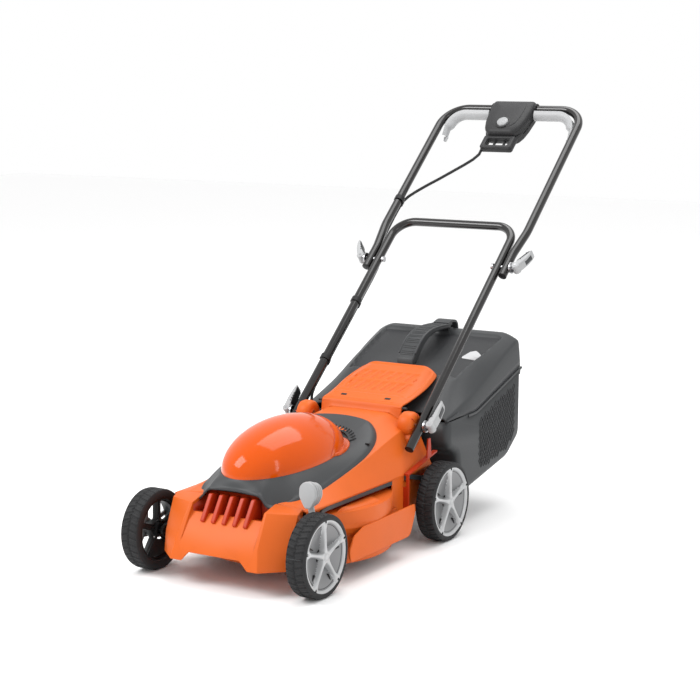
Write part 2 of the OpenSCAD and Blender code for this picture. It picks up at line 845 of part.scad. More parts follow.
module lock_button() {
  color(silver) on_handle(bar_at) translate([0, button_a, 12]) {
    cylinder(h = 15, r = button_r);
    cylinder(h = 4, r = button_r + 3);
  }
}

// Half pipe that the bail levers are pressed from, open towards the handle bar.
module half_pipe(inner) {
  difference() {
    circle(r = bail_r);
    circle(r = inner);
    translate([0, -20]) square([20, 40]);
  }
}

// Twin half-pipe levers inside the bend of the handle bar, on a spindle in the switch box.
module bail_bar() {
  straight = upper_x - upper_bend;
  color(silver) on_handle(bar_at) translate([0, bail_a, 0]) rotate([bail_open, 0, 0]) {
    both_sides() {
      translate([62, 0, 0]) rotate([90, 0, 90]) linear_extrude(straight - 62) half_pipe(bail_r - 2.5);
      translate([60, 0, 0]) rotate([90, 0, 90]) linear_extrude(2.2) half_pipe(1);
      translate([straight, -upper_bend - bail_a, 0]) rotate_extrude(angle = 90)
        translate([upper_bend + bail_a, 0]) half_pipe(bail_r - 2.5);
      translate([upper_x + bail_a, -upper_bend - bail_a, 0]) rotate([90, 0, 0])
        linear_extrude(22) half_pipe(bail_r - 2.5);
    }
    x_rod(-61, 61, 0, 0, bail_spindle_r);
    translate([-6, -16, -3]) cube([12, 16, 6]);
  }
}

// ---- Rear flap ----

module flap_slice(y, half, edge_z, crown_z, thick) {
  translate([0, y, 0]) rotate([90, 0, 0]) linear_extrude(0.2) polygon([
    [-half, edge_z], [-half * 0.72, crown_z], [half * 0.72, crown_z], [half, edge_z],
    [half, edge_z - thick], [-half, edge_z - thick]]);
}

module rear_flap() {
  color(orange) difference() {
    union() {
      hull() {
        flap_slice(hinge_y + 6, 101, hinge_z + 3, hinge_z + 5, 8);
        flap_slice(600, 108, 310, 326, 6);
      }
      hull() {
        flap_slice(600, 108, 310, 326, 6);
        flap_slice(660, 98, 328, 345, 6);
        flap_slice(672, 80, 333, 347, 5);
      }
      x_rod(-100, 100, hinge_y, hinge_z, 6);
    }
    x_rod(-110, 110, hinge_y, hinge_z, hinge_pin_r + run_gap);
    both_sides() x_rod(60, 76, hinge_y, hinge_z, 8);
    hull() {
      flap_slice(hinge_y + 18, 97, hinge_z + 3, hinge_z + 6, 20);
      flap_slice(600, 104, 306, 322, 24);
    }
    hull() {
      flap_slice(600, 104, 306, 322, 24);
      flap_slice(655, 94, 323, 340, 24);
    }
  }
}

module flap_springs() {
  color(steel) both_sides() translate([61, hinge_y, hinge_z]) rotate([0, 90, 0]) {
    for (i = [0:5]) translate([0, 0, i * 2.4]) rotate_extrude() translate([4.2, 0]) circle(r = 1);
  }
}

// ---- Grass box ----

// Side outline of the bin, in (y, z), with the walls inset by t.
function bin_outline(t) = [[618 + t, 73 + t], [642, 71 + t], [842, 116 + t], [904 - t, 160 + t],
  [906 - t, 322], [680, 252], [545 + t, 247], [545 + t, 192 + t], [618 + t, 184 + t]];

module mouth_cut() {
  translate([-chute_x + 4, 520, 140]) cube([2 * chute_x - 8, 50, 118]);
}

module box_bin() {
  color(slate) difference() {
    union() {
      x_slab(-box_x, box_x, bin_outline(0));
      x_slab(-box_x - 4, box_x + 4, [[560, 236], [680, 241], [908, 311], [918, 304], [918, 314],
        [906, 322], [680, 252], [560, 247.5]]);
    }
    x_slab(-box_x + box_wall, box_x - box_wall, concat([for (p = bin_outline(box_wall)) p]));
    x_slab(-box_x + box_wall, box_x - box_wall, [[560, 230], [560, 260], [680, 260],
      [890, 325], [890, 300], [680, 240]]);
    mouth_cut();
  }
}

module lid_slice(y, half, base_z, edge_z, crown_z, t) {
  translate([0, y, 0]) rotate([90, 0, 0]) linear_extrude(0.2) polygon([
    [-half + t, base_z - t], [-half + t + 2, edge_z - t], [-half * 0.79, crown_z - 6 - t],
    [-half * 0.6, crown_z - t], [half * 0.6, crown_z - t], [half * 0.79, crown_z - 6 - t],
    [half - t - 2, edge_z - t], [half - t, base_z - t]]);
}

module lid_form(t) {
  hull() {
    lid_slice(546 + t, box_x - 12, 248, 252, 262 + t / 2, t);
    lid_slice(680, box_x, 253, 294, 332, t);
  }
  hull() {
    lid_slice(680, box_x, 253, 294, 332, t);
    lid_slice(884 - t, box_x, 316, 385, 401, t);
    lid_slice(909 - t, box_x, 323.5, 330, 334, t);
  }
}

module box_lid() {
  color(slate) difference() {
    lid_form(0);
    translate([0, 0, -0.5]) lid_form(box_wall);
    x_slab(-box_x - 10, box_x + 10, [[530, 200], [930, 200], [930, 329.8], [906, 322.4],
      [680, 252.4], [545, 247.4], [530, 247.4]]);
    mouth_cut();
    translate([-105, 540, 258]) cube([210, 26, 40]);
  }
}

module box_handle() {
  color(slate) {
    x_slab(-23, 23, [[684, 346], [706, 352], [740, 380], [775, 394], [806, 400], [842, 398],
      [862, 398], [872, 403], [884, 406], [884, 413], [860, 420], [800, 420], [750, 413],
      [712, 392], [684, 362]]);
    x_slab(-18, 18, [[684, 334], [706, 341.5], [706, 353], [684, 347]]);
  }
}

// Blank film that follows the top of the lid.
module box_label() {
  color(silver) difference() {
    intersection() {
      translate([0, 0, 0.6]) lid_form(0);
      translate([125, 779, 300]) linear_extrude(120)
        polygon([[-22, -8], [-14, 15], [-2, 22], [9, 14], [21, 3], [23, -20], [-21, -14]]);
    }
    lid_form(0);
  }
}

placed() lower_deck();
placed() discharge_chute();
placed() deck_shell();
placed() front_fascia();
placed() vent_fins();
placed() motor_shroud();
placed() motor_dome();
placed() motor_can();
placed() capacitor();
placed() side_skirts();
placed() wheel_arches();
placed() handle_knuckles();
placed() axle_bushes();
placed() flap_pin();
placed() deck_screws();
placed() cable_gland();
placed() motor_shaft();
placed() motor_rotor();
placed() blade_carrier();
placed() blade();
placed() blade_bolt();
placed() front_crank_right();
placed() height_lever();
placed() front_crank_left();
placed() rear_axle();
placed() link_rod_right();
placed() link_rod_left();
placed() tyre_front_right();
placed() rim_front_right();
placed() cap_front_right();
placed() tyre_front_left();
placed() rim_front_left();
placed() cap_front_left();
placed() tyre_rear_right();
placed() rim_rear_right();
placed() cap_rear_right();
placed() tyre_rear_left();
placed() rim_rear_left();
placed() cap_rear_left();
placed() lower_tube();
placed() pivot_bolts();
placed() joint_bolts();
placed() lower_cable();
placed() lower_clamp_right();
placed() lower_clamp_left();
placed() upper_clamp_right();
placed() upper_clamp_left();
placed() upper_tube();
placed() switch_cover();
placed() switch_base();
placed() micro_switch();
placed() upper_cable();
placed() bail_bar();
placed() lock_button();
placed() rear_flap();
placed() flap_springs();
placed() box_bin();
placed() box_lid();
placed() box_handle();
placed() box_label();
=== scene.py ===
"""Looks of a four-wheeled electric rotary mower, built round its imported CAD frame.

Lengths are millimetres in the mower's own axes: X across it, Y back from the front wheel centres and
Z up from the ground. MM and the matrices DECK, HANDLE and Wheel.frame turn them into metres in the
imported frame.
"""
import json
import math

import bmesh
import bpy
from mathutils import Matrix, Vector
from mathutils.bvhtree import BVHTree


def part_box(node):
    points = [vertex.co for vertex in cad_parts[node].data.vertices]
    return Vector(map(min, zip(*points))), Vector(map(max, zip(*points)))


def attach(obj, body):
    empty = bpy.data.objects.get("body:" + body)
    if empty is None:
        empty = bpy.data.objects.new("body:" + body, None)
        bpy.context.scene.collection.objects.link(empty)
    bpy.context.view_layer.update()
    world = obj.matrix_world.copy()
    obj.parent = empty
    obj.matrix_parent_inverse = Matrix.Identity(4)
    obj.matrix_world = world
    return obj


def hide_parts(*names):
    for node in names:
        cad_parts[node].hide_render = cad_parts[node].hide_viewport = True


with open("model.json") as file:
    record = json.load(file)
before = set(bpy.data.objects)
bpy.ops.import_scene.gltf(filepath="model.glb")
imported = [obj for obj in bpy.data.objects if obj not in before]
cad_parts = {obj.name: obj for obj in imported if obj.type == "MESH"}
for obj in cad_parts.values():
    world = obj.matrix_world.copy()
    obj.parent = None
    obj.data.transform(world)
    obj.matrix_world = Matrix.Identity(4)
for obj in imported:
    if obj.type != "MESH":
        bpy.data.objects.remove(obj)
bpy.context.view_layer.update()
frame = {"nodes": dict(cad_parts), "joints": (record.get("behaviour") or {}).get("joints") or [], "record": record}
NODES = frame["nodes"]
BODY_OF = {n: b for b, ns in frame["record"]["behaviour"]["bodies"].items() for n in ns}
SLOT_OF = {p["node"]: p["material_slot"] for p in frame["record"]["subparts"]}
JOINT_AT = {j["name"]: Vector(j["pos_m"]) for j in frame["joints"] if j.get("pos_m")}
MM = 0.001
SIDES = ((1, "right"), (-1, "left"))
UP = Vector((0, 0, 1))


# ---- Frames ----

def centre(node):
    low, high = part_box(node)
    return (low + high) / 2


def moved(x, y, z):
    return Matrix.Translation((x * MM, y * MM, z * MM))


def rotated(degrees, axis):
    return Matrix.Rotation(math.radians(degrees), 4, axis)


def outward(side, place=(0, 0, 0)):
    """Local Z out to the right (side 1) or to the left (-1), local Y up; place in metres."""
    x, y, z = place
    return Matrix(((0, 0, side, x), (side, 0, 0, y), (0, 1, 0, z), (0, 0, 0, 1)))


def mirror(side):
    return Matrix.Diagonal((side, 1, 1, 1))


def side_frame(side):
    """Outlines in (y, z), with the plate's own Z along +X on the right side and -X on the left."""
    return DECK @ Matrix(((0, 0, side, 0), (1, 0, 0, 0), (0, 1, 0, 0), (0, 0, 0, 1)))


FRONT = centre("tyre_front_right")
# The mower's own axes, in which the lengths of the deck, motor cover and grass box are given.
DECK = Matrix.Translation((0, FRONT.y, 0))
# Outlines in (x, z), with the plate's own Z towards the rear.
UPRIGHT = Matrix(((1, 0, 0, 0), (0, 0, 1, 0), (0, 1, 0, 0), (0, 0, 0, 1)))
PIVOT = JOINT_AT["handle_fold"]
ALONG = (JOINT_AT["upper_fold"] - PIVOT).normalized()
JOINT = (JOINT_AT["upper_fold"] - PIVOT).length / MM
# The handle's frame: local Y up along the tubes from the pivot, local Z square to them, forwards and up.
HANDLE = Matrix(((1, 0, 0, 0), (0, ALONG.y, -ALONG.z, PIVOT.y), (0, ALONG.z, ALONG.y, PIVOT.z),
                 (0, 0, 0, 1)))
BAIL_DROP = 14
BAR = (JOINT_AT["bail_squeeze"] - PIVOT).length / MM + BAIL_DROP


# ---- Camera and light ----

def place_in_scene(name, data, place=(0, 0, 0), target=None):
    obj = bpy.data.objects.new(name, data)
    bpy.context.scene.collection.objects.link(obj)
    obj.location = place
    if target:
        aim = Vector(target) - obj.location
        obj.rotation_euler = aim.to_track_quat("-Z", "Y").to_euler()
    return obj


def make_camera():
    data = bpy.data.cameras.new("camera")
    data.lens = 93.0
    data.sensor_width = 36.0
    # The front axle is 363 mm ahead of the point that the camera's place is measured from.
    origin_y = FRONT.y + 0.363
    bpy.context.scene.camera = place_in_scene(
        "camera", data, (2.0071, origin_y - 3.2125, 1.0309), (0.0354, origin_y + 0.0247, 0.4169))


def make_studio():
    for name, place, target, size, watts in (
            ("key", (-1.9, -2.3, 2.9), (0, -0.2, 0.3), (1.8, 1.8), 90),
            ("side", (2.7, -0.9, 1.5), (0, -0.1, 0.4), (0.22, 1.9), 8),
            ("overhead", (0.1, 0.8, 3.1), (0, 0.1, 0.3), (2.2, 2.0), 52)):
        data = bpy.data.lights.new(name, "AREA")
        data.shape = "RECTANGLE"
        data.size, data.size_y = size
        data.energy = watts
        place_in_scene(name, data, place, target)
    world = bpy.data.worlds.new("studio")
    world.use_nodes = True
    back = world.node_tree.nodes["Background"]
    back.inputs["Color"].default_value = (1, 1, 1, 1)
    back.inputs["Strength"].default_value = 1.0
    bpy.context.scene.world = world
    bpy.context.scene.view_settings.view_transform = "Standard"
    reach = 9.0
    mesh = bpy.data.meshes.new("floor")
    mesh.from_pydata([(-reach, -reach, 0), (reach, -reach, 0), (reach, reach, 0), (-reach, reach, 0)],
                     [], [(0, 1, 2, 3)])
    floor = place_in_scene("floor", mesh)
    paper = bpy.data.materials.new("paper")
    paper.use_nodes = True
    shader = paper.node_tree.nodes["Principled BSDF"]
    shader.inputs["Base Color"].default_value = (0.97, 0.97, 0.97, 1)
    shader.inputs["Roughness"].default_value = 0.7
    floor.data.materials.append(paper)


# ---- Materials ----

CLOUD = 0.09
USUAL_SLOT = {}


def add(tree, kind, inputs, links, **settings):
    """Adds a shader node, sets its inputs and links other nodes' outputs to them."""
    made = tree.nodes.new("ShaderNode" + kind)
    for key, value in settings.items():
        setattr(made, key, value)
    for key, value in inputs.items():
        made.inputs[key].default_value = value
    for key, source in links.items():
        tree.links.new(source, made.inputs[key])
    return made


def moulded(name, slot, colour, rough, grain=0.25, grain_size=0.0012, shade=0.06, metallic=0.0,
            coat=0.0, shine=0.3):
    """A moulded or coated surface: cloudy colour and roughness under a fine grain.

    slot is the material slot of the pieces in it that stand for no CAD node.
    """
    mat = bpy.data.materials.new(name)
    mat.use_nodes = True
    tree = mat.node_tree
    shader = tree.nodes["Principled BSDF"].inputs
    for key, value in (("Metallic", metallic), ("Coat Weight", coat), ("Specular IOR Level", shine),
                       ("Coat Roughness", 0.08)):
        shader[key].default_value = value
    place = add(tree, "TexCoord", {}, {}).outputs["Object"]
    clouds = add(tree, "TexNoise", {"Scale": 1 / CLOUD, "Detail": 4}, {"Vector": place}).outputs["Fac"]
    ramp = add(tree, "ValToRGB", {}, {"Fac": clouds})
    for end, position, level in ((0, 0.3, 1 - shade), (1, 0.7, 1 + shade)):
        element = ramp.color_ramp.elements[end]
        element.position = position
        element.color = (*(min(1, c * level) for c in colour), 1)
    tree.links.new(ramp.outputs["Color"], shader["Base Color"])
    fine = add(tree, "TexNoise", {"Scale": 1 / grain_size, "Detail": 3}, {"Vector": place}).outputs["Fac"]
    half = add(tree, "Math", {1: 0.5}, {0: clouds}, operation="MULTIPLY").outputs[0]
    mixed = add(tree, "Math", {1: 0.5}, {0: fine, 2: half}, operation="MULTIPLY_ADD").outputs[0]
    spread = add(tree, "MapRange", {"To Min": max(0.02, rough - 0.07), "To Max": min(1.0, rough + 0.09)},
                 {"Value": mixed})
    tree.links.new(spread.outputs["Result"], shader["Roughness"])
    bump = add(tree, "Bump", {"Strength": grain, "Distance": grain_size * 0.25}, {"Height": fine})
    tree.links.new(bump.outputs["Normal"], shader["Normal"])
    USUAL_SLOT[name] = slot
    return mat


ORANGE = moulded("body orange", "body_orange", (0.59, 0.104, 0.010), 0.42, 0.18, shade=0.045, shine=0.22)
GLOSS_ORANGE = moulded("dome orange", "dome_orange", (0.56, 0.070, 0.0), 0.09, 0.02, 0.004, 0.03,
                       shine=0.24)
TRIM_RED = moulded("fin red", "trim_red", (0.40, 0.028, 0.004), 0.4, 0.15, shade=0.07)
SLATE = moulded("slate plastic", "slate_plastic", (0.038, 0.040, 0.042), 0.44, 0.35, 0.0009)
# Darker slate for the floor of the lid's sunken panel: painted shade in the recess, which the chamfers round it
# don't get.
SLATE_PANEL_PAINTED_SHADE = moulded("lid panel plastic", None, (0.026, 0.027, 0.029), 0.5, 0.35, 0.0009)
SLATE_DARK = moulded("dark slate plastic", "slate_plastic", (0.020, 0.020, 0.021), 0.48, 0.4)
BLACK = moulded("black plastic", "black_plastic", (0.006, 0.006, 0.0065), 0.42, 0.3)
TYRE = moulded("tyre compound", None, (0.011, 0.011, 0.012), 0.6, 0.5, 0.0016, 0.16)
SILVER = moulded("silver trim", None, (0.42, 0.425, 0.43), 0.3, 0.08, shade=0.04, metallic=0.25, coat=0.3)
# Darker silver for the wheel trims' dished pockets: painted shade in the dish.
SILVER_DISH_PAINTED_SHADE = moulded("silver dish", None, (0.20, 0.202, 0.206), 0.34, 0.1, metallic=0.4)
PALE = moulded("pale lever plastic", "pale_plastic", (0.34, 0.345, 0.35), 0.36, 0.15, shade=0.04,
               shine=0.4)
TUBE = moulded("tube coat", None, (0.008, 0.007, 0.007), 0.13, 0.03, shade=0.1, coat=0.2, shine=0.45)
STEEL = moulded("zinc steel", None, (0.42, 0.42, 0.43), 0.28, 0.1, shade=0.1, metallic=1.0)
COATED_STEEL = moulded("coated blade steel", None, (0.04, 0.04, 0.045), 0.35, shade=0.15, metallic=0.6)
ALUMINIUM = moulded("cast aluminium", None, (0.5, 0.5, 0.51), 0.4, 0.4, metallic=0.9)
COPPER = moulded("lacquered windings", None, (0.40, 0.14, 0.05), 0.35, 0.6, metallic=0.8)
CABLE = moulded("cable sheath", None, (0.008, 0.008, 0.0085), 0.45, 0.2)
FILM = moulded("blank film", None, (0.50, 0.505, 0.51), 0.5, 0.8, 0.003, 0.1)


# ---- Mesh tools ----

def dress(obj, mat, body, stands_for=(), slot=None, sharp=32):
    """Gives an object its material and body and hides the CAD nodes that it stands for."""
    nodes = [stands_for] if isinstance(stands_for, str) else list(stands_for)
    if mat:
        obj.data.materials.clear()
        obj.data.materials.append(mat)
    obj.data.shade_smooth()
    obj.data.set_sharp_from_angle(angle=math.radians(sharp))
    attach(obj, body)
    if nodes:
        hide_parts(*nodes)
    slot or (SLOT_OF[nodes[0]] if nodes else USUAL_SLOT[mat.name])
    return obj


def new_object(name, verts, faces, matrix=DECK):
    mesh = bpy.data.meshes.new(name)
    mesh.from_pydata([matrix @ (Vector(v) * MM) for v in verts], [], faces)
    obj = place_in_scene(name, mesh)
    clean(obj)
    return obj


def clean(obj, merge=1e-6, flatten=0.0):
    """Merges doubled points, joins flat faces where asked and turns the normals outwards."""
    bm = bmesh.new()
    bm.from_mesh(obj.data)
    bmesh.ops.remove_doubles(bm, verts=bm.verts, dist=merge)
    if flatten:
        bmesh.ops.dissolve_limit(bm, angle_limit=math.radians(flatten), verts=bm.verts,
                                 edges=bm.edges, delimit={"SHARP"})
    bmesh.ops.recalc_face_normals(bm, faces=bm.faces)
    bm.to_mesh(obj.data)
    bm.free()


def thicken(obj, depth, offset=-1):
    """Turns a skin into a wall, inwards unless offset is 1."""
    wall = obj.modifiers.new("wall", "SOLIDIFY")
    wall.thickness = depth * MM
    wall.offset = offset
    return obj


def paint(obj, mats, choose):
    """Gives an object several materials; choose turns a face into the number of its material."""
    for mat in mats:
        obj.data.materials.append(mat)
    for poly in obj.data.polygons:
        poly.material_index = choose(poly)


def soften(obj, width, segments=3, angle=30):
    """Rounds the edges of a hard-edged mesh."""
    bevel = obj.modifiers.new("round", "BEVEL")
    bevel.width = width * MM
    bevel.segments = segments
    bevel.limit_method = "ANGLE"
    bevel.angle_limit = math.radians(angle)
    bevel.miter_outer = "MITER_ARC"
    return obj


def rounded_node(node, mat, width):
    """A copy of a CAD node with its edges rounded, which stands for it."""
    obj = place_in_scene(node + "_rounded", NODES[node].data.copy())
    clean(obj, merge=2e-5, flatten=0.6)
    return dress(soften(obj, width, 2), mat, BODY_OF[node], node)


def fillet(points, radius, steps=6, closed=True):
    """The outline with each corner turned into an arc. radius is one number or one for each corner."""
    n = len(points)
    radii = radius if isinstance(radius, (list, tuple)) else [radius] * n
    out = []
    for i, p in enumerate(points):
        p = Vector(p)
        if radii[i] <= 0 or (not closed and i in (0, n - 1)):
            out.append(p)
            continue
        a, b = Vector(points[i - 1]) - p, Vector(points[(i + 1) % n]) - p
        la, lb = a.length, b.length
        if min(la, lb) < 1e-6:
            out += [p] * (steps + 1)
            continue
        a.normalize()
        b.normalize()
        angle = max(0.02, a.angle(b))
        reach = min(radii[i] / math.tan(angle / 2), la * 0.48, lb * 0.48)
        start, end = p + a * reach, p + b * reach
        for k in range(steps + 1):
            t = k / steps
            out.append(start * (1 - t) ** 2 + p * 2 * t * (1 - t) + end * t ** 2)
    return out


def rectangle(x0, y0, x1, y1, radius=0, steps=3):
    """A rounded rectangle between two opposite corners."""
    return fillet([(x0, y0), (x1, y0), (x1, y1), (x0, y1)], radius, steps)


def block(x, y, radius=0, steps=3):
    """A rounded rectangle that reaches x and y each way from the origin."""
    return rectangle(-x, -y, x, y, radius, steps)


def both(half):
    """The left half of an outline and its mirror image."""
    return half + [(-x, y) for x, y in reversed(half)]


def circle(radius, sides=24):
    return [(radius * math.cos(2 * math.pi * k / sides), radius * math.sin(2 * math.pi * k / sides))
            for k in range(sides)]


def plate(name, outlines, low, high, bevel, matrix, *look, **more):
    """Outlines in local X and Y, holes among them, as a plate from low to high along local Z."""
    curve = bpy.data.curves.new(name, "CURVE")
    curve.dimensions = "2D"
    curve.fill_mode = "BOTH"
    for outline in outlines:
        spline = curve.splines.new("POLY")
        spline.points.add(len(outline) - 1)
        for point, p in zip(spline.points, outline):
            point.co = (p[0] * MM, p[1] * MM, 0, 1)
        spline.use_cyclic_u = True
    curve.extrude = ((high - low) / 2 - bevel) * MM
    curve.bevel_depth = bevel * MM
    curve.bevel_resolution = 2
    curve.offset = -bevel * MM
    source = place_in_scene(name + "_outline", curve)
    mesh = bpy.data.meshes.new_from_object(
        source.evaluated_get(bpy.context.evaluated_depsgraph_get()))
    bpy.data.objects.remove(source)
    mesh.transform(matrix @ moved(0, 0, (low + high) / 2))
    obj = place_in_scene(name, mesh)
    clean(obj, merge=1e-5)
    return dress(obj, *look, **more)


def turned(name, profile, steps, matrix, *look, **more):
    """A closed profile of (radius, height) turned about local Z."""
    n = len(profile)
    verts = [(r * math.cos(2 * math.pi * k / steps), r * math.sin(2 * math.pi * k / steps), h)
             for k in range(steps) for r, h in profile]
    faces = [(k * n + i, (k + 1) % steps * n + i, (k + 1) % steps * n + (i + 1) % n, k * n + (i + 1) % n)
             for k in range(steps) for i in range(n)]
    return dress(new_object(name, verts, faces, matrix), *look, **more)


def grid_faces(rows, cols, wrap_cols=False, wrap_rows=False, first=0):
    last_row = rows if wrap_rows else rows - 1
    last_col = cols if wrap_cols else cols - 1
    return [(first + i * cols + j, first + i * cols + (j + 1) % cols,
             first + ((i + 1) % rows) * cols + (j + 1) % cols, first + ((i + 1) % rows) * cols + j)
            for i in range(last_row) for j in range(last_col)]


def swept(path, ring, up=UP, caps=True):
    """A ring of (side, up) offsets carried along a path of points."""
    path = [Vector(p) for p in path]
    verts, n = [], len(ring)
    side = None
    for i, p in enumerate(path):
        t = (path[min(i + 1, len(path) - 1)] - path[max(i - 1, 0)]).normalized()
        if side is None:
            side = t.cross(up).normalized()
        side = (side - t * side.dot(t)).normalized()
        rise = side.cross(t)
        verts += [p + side * a + rise * b for a, b in ring]
    faces = grid_faces(len(path), n, wrap_cols=True)
    if caps:
        faces += [tuple(range(n - 1, -1, -1)), tuple(range(len(verts) - n, len(verts)))]
    return verts, faces


def strip(name, path, ring, *look, matrix=DECK, up=UP, **more):
    """A piece with one cross section along its path."""
    return dress(new_object(name, *swept(path, ring, up), matrix), *look, **more)


def skin(name, verts, faces, depth, *look, **more):
    """A wall of the given depth behind its outer faces."""
    return dress(thicken(new_object(name, verts, faces), depth), *look, **more)


def spline(points, steps=6):
    """A smooth curve through the points."""
    p = [Vector(q) for q in points]
    p = [p[0] * 2 - p[1]] + p + [p[-1] * 2 - p[-2]]
    out = []
    for i in range(1, len(p) - 2):
        for k in range(steps):
            t = k / steps
            out.append(0.5 * (2 * p[i] + (p[i + 1] - p[i - 1]) * t
                              + (2 * p[i - 1] - 5 * p[i] + 4 * p[i + 1] - p[i + 2]) * t * t
                              + (3 * p[i] - p[i - 1] - 3 * p[i + 1] + p[i + 2]) * t ** 3))
    out.append(p[-2])
    return out


def step(edge0, edge1, x):
    t = min(1.0, max(0.0, (x - edge0) / (edge1 - edge0)))
    return t * t * (3 - 2 * t)


make_camera()
make_studio()


# ---- Wheels ----

SPOKES = 5
SPOKE_PITCH = 2 * math.pi / SPOKES
SPOKE_TURN = math.radians(92)
TRIM_EDGE = 11.5
TREAD_PITCHES = 36


class Wheel:
    """One wheel's frame, its tyre's radius and half width, and its names."""

    def __init__(self, name):
        low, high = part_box("tyre_" + name)
        middle = centre("tyre_" + name)
        self.name = name
        self.body = "wheel_" + name
        self.radius = (high.z - low.z) / 2 / MM
        self.half = (high.x - low.x) / 2 / MM
        self.trim = self.radius - TRIM_EDGE
        # Axle along local Z, outwards; local X to the rear on the right side, and Y up.
        self.frame = outward(1 if middle.x > 0 else -1, middle)

    def at_spoke(self, s, offset=0.0):
        return self.frame @ Matrix.Rotation(SPOKE_TURN + s * SPOKE_PITCH + offset, 4, "Z")

    def pockets(self, r_in, r_out, half_w, corner):
        """Outlines of the rounded pockets between the spokes, from r_in to r_out."""
        outlines = []
        part = SPOKE_PITCH / 2
        outer, inner = (part - math.asin(min(0.99, half_w / r)) for r in (r_out, r_in))
        points = [(r_out, max(-outer, min(outer, -part + 2 * part * i / 8))) for i in range(9)]
        points += [(r_in, inner - 2 * inner * i / 3) for i in range(4)]
        for s in range(SPOKES):
            turn = SPOKE_TURN + math.pi / SPOKES + s * 2 * math.pi / SPOKES
            xy = []
            for r, a in points:
                p = (r * math.cos(a + turn), r * math.sin(a + turn))
                if not xy or math.dist(xy[-1], p) > 0.3:
                    xy.append(p)
            outlines.append(fillet(xy, corner, 5))
        return outlines


def tread_depth(angle, across, half):
    """Depth of the tread at a place on the tyre: two rows of slanting blocks and a zigzag middle."""
    turn = angle * TREAD_PITCHES / (2 * math.pi)
    zig = 2.6 * (abs((turn % 1) * 2 - 1) * 2 - 1)
    middle = across - zig
    row = 1 if middle > 0 else -1
    phase = (turn + (0.5 if row > 0 else 0) + row * across / half * 0.32) % 1
    groove = 1 - step(0.11, 0.18, min(phase, 1 - phase))
    centre_cut = 1 - step(0.7, 1.7, abs(middle))
    lamella = 0.35 * (1 - step(0.03, 0.07, abs(phase - 0.5)))
    return max(groove, centre_cut, lamella)


def make_tyre(wheel):
    node = "tyre_" + wheel.name
    radius, half = wheel.radius, wheel.half
    crown = half - 4
    steps = 360
    across = [-crown + 2 * crown * i / 26 for i in range(27)]
    # Side walls as (drop from the radius, height along the axle).
    inner = [(17, -half + 2), (14, -half), (8, -half), (4.5, -half + 0.8), (1.6, -half + 2.2)]
    outer = [(1.6, half - 2.2), (4.5, half - 0.8), (6.0, half), (9, half), (10.4, half - 0.6),
             (11.5, half - 0.6), (13, half - 2), (17, half - 4)]
    verts = []
    for k in range(steps):
        a = 2 * math.pi * k / steps
        ring = [(radius - drop, h) for drop, h in inner]
        for s in across:
            edge = step(0.82, 1.0, abs(s) / crown)
            ring.append((radius - 0.9 * edge - 2.1 * tread_depth(a, s, crown), s))
        ring += [(radius - drop, h) for drop, h in outer]
        verts += [(r * math.cos(a), r * math.sin(a), h) for r, h in ring]
    faces = grid_faces(steps, len(verts) // steps, wrap_cols=True, wrap_rows=True)
    tyre = new_object(node + "_tread", verts, faces, wheel.frame)
    dress(tyre, TYRE, wheel.body, node, sharp=40)
    # The mould's parting line, a thin pale rib across the tread.
    a = math.radians(172)
    line = [((radius - 0.4) * math.cos(a), (radius - 0.4) * math.sin(a),
             -crown + 1 + 2 * (crown - 1) * i / 8) for i in range(9)]
    strip(node + "_seam", line, circle(0.7, 8), SLATE, wheel.body, slot=SLOT_OF[node],
          matrix=wheel.frame, up=Vector((1, 0, 0)))


def spoke_distance(x, y):
    """Distance from the nearest spoke's centre line."""
    a = math.atan2(y, x) - SPOKE_TURN
    return math.hypot(x, y) * math.sin(abs(a - round(a / SPOKE_PITCH) * SPOKE_PITCH))


def spoke_half(r, rim):
    """Half width of a spoke: it flares into the hub and forks out into the rim."""
    return 2.4 + 7.0 * math.exp(-(r - 9) / 5.0) + 6.0 * step(0.62, 1.0, r / rim) ** 2


def make_dished_cap(wheel):
    """Silver five-spoke trim with dished pockets, coloured a darker grey silver as painted shade in the dish."""
    node = "cap_" + wheel.name
    half, rim = wheel.half, wheel.trim
    hub_r, rings, steps = 6, 46, 360
    verts = []
    for i in range(rings):
        r = hub_r + (rim - hub_r) * i / (rings - 1)
        w = spoke_half(r, rim)
        bowl = 3.5 + 9.5 * (1 - step(0.35, 1.0, r / rim))
        for k in range(steps):
            a = 2 * math.pi * k / steps
            x, y = r * math.cos(a), r * math.sin(a)
            d = spoke_distance(x, y)
            pocket = step(w, w + 3.2, d) * (1 - step(rim - 6.5, rim - 3.2, r))
            crown = 1.2 * (1 - min(1, d / max(w, 0.1)) ** 2) * (1 - pocket)
            notch = 2.6 * (1 - step(1.8, 2.4, d)) * step(rim - 5.2, rim - 4.4, r)
            verts.append((x, y, half - 0.7 + crown - bowl * pocket - notch))
    cap = new_object(node + "_trim", verts, grid_faces(rings, steps, wrap_cols=True), wheel.frame)
    to_wheel = wheel.frame.inverted()

    # Pocket faces get the darker silver as painted shade; faces in the notches by the spokes get black.
    def choose(poly):
        c = to_wheel @ poly.center / MM
        d, r = spoke_distance(c.x, c.y), math.hypot(c.x, c.y)
        if d < 2.1 and r > rim - 4.8:
            return 2
        return int(d > spoke_half(r, rim) + 2.4 and r < rim - 6)

    paint(cap, (SILVER, SILVER_DISH_PAINTED_SHADE, BLACK), choose)
    dress(thicken(cap, 1.6), None, wheel.body, node, sharp=50)
    # Dark slots beside the spokes, near the rim.
    slot = fillet([(rim * 0.60, -1.1), (rim * 0.80, -1.5), (rim * 0.80, 1.5), (rim * 0.60, 1.1)], 1.0, 3)
    for s in range(SPOKES):
        plate(f"{node}_slot_{s}", [slot], half - 12.5, half - 6.2, 0.3,
              wheel.at_spoke(s, -math.radians(13)), BLACK, wheel.body, slot=SLOT_OF[node])


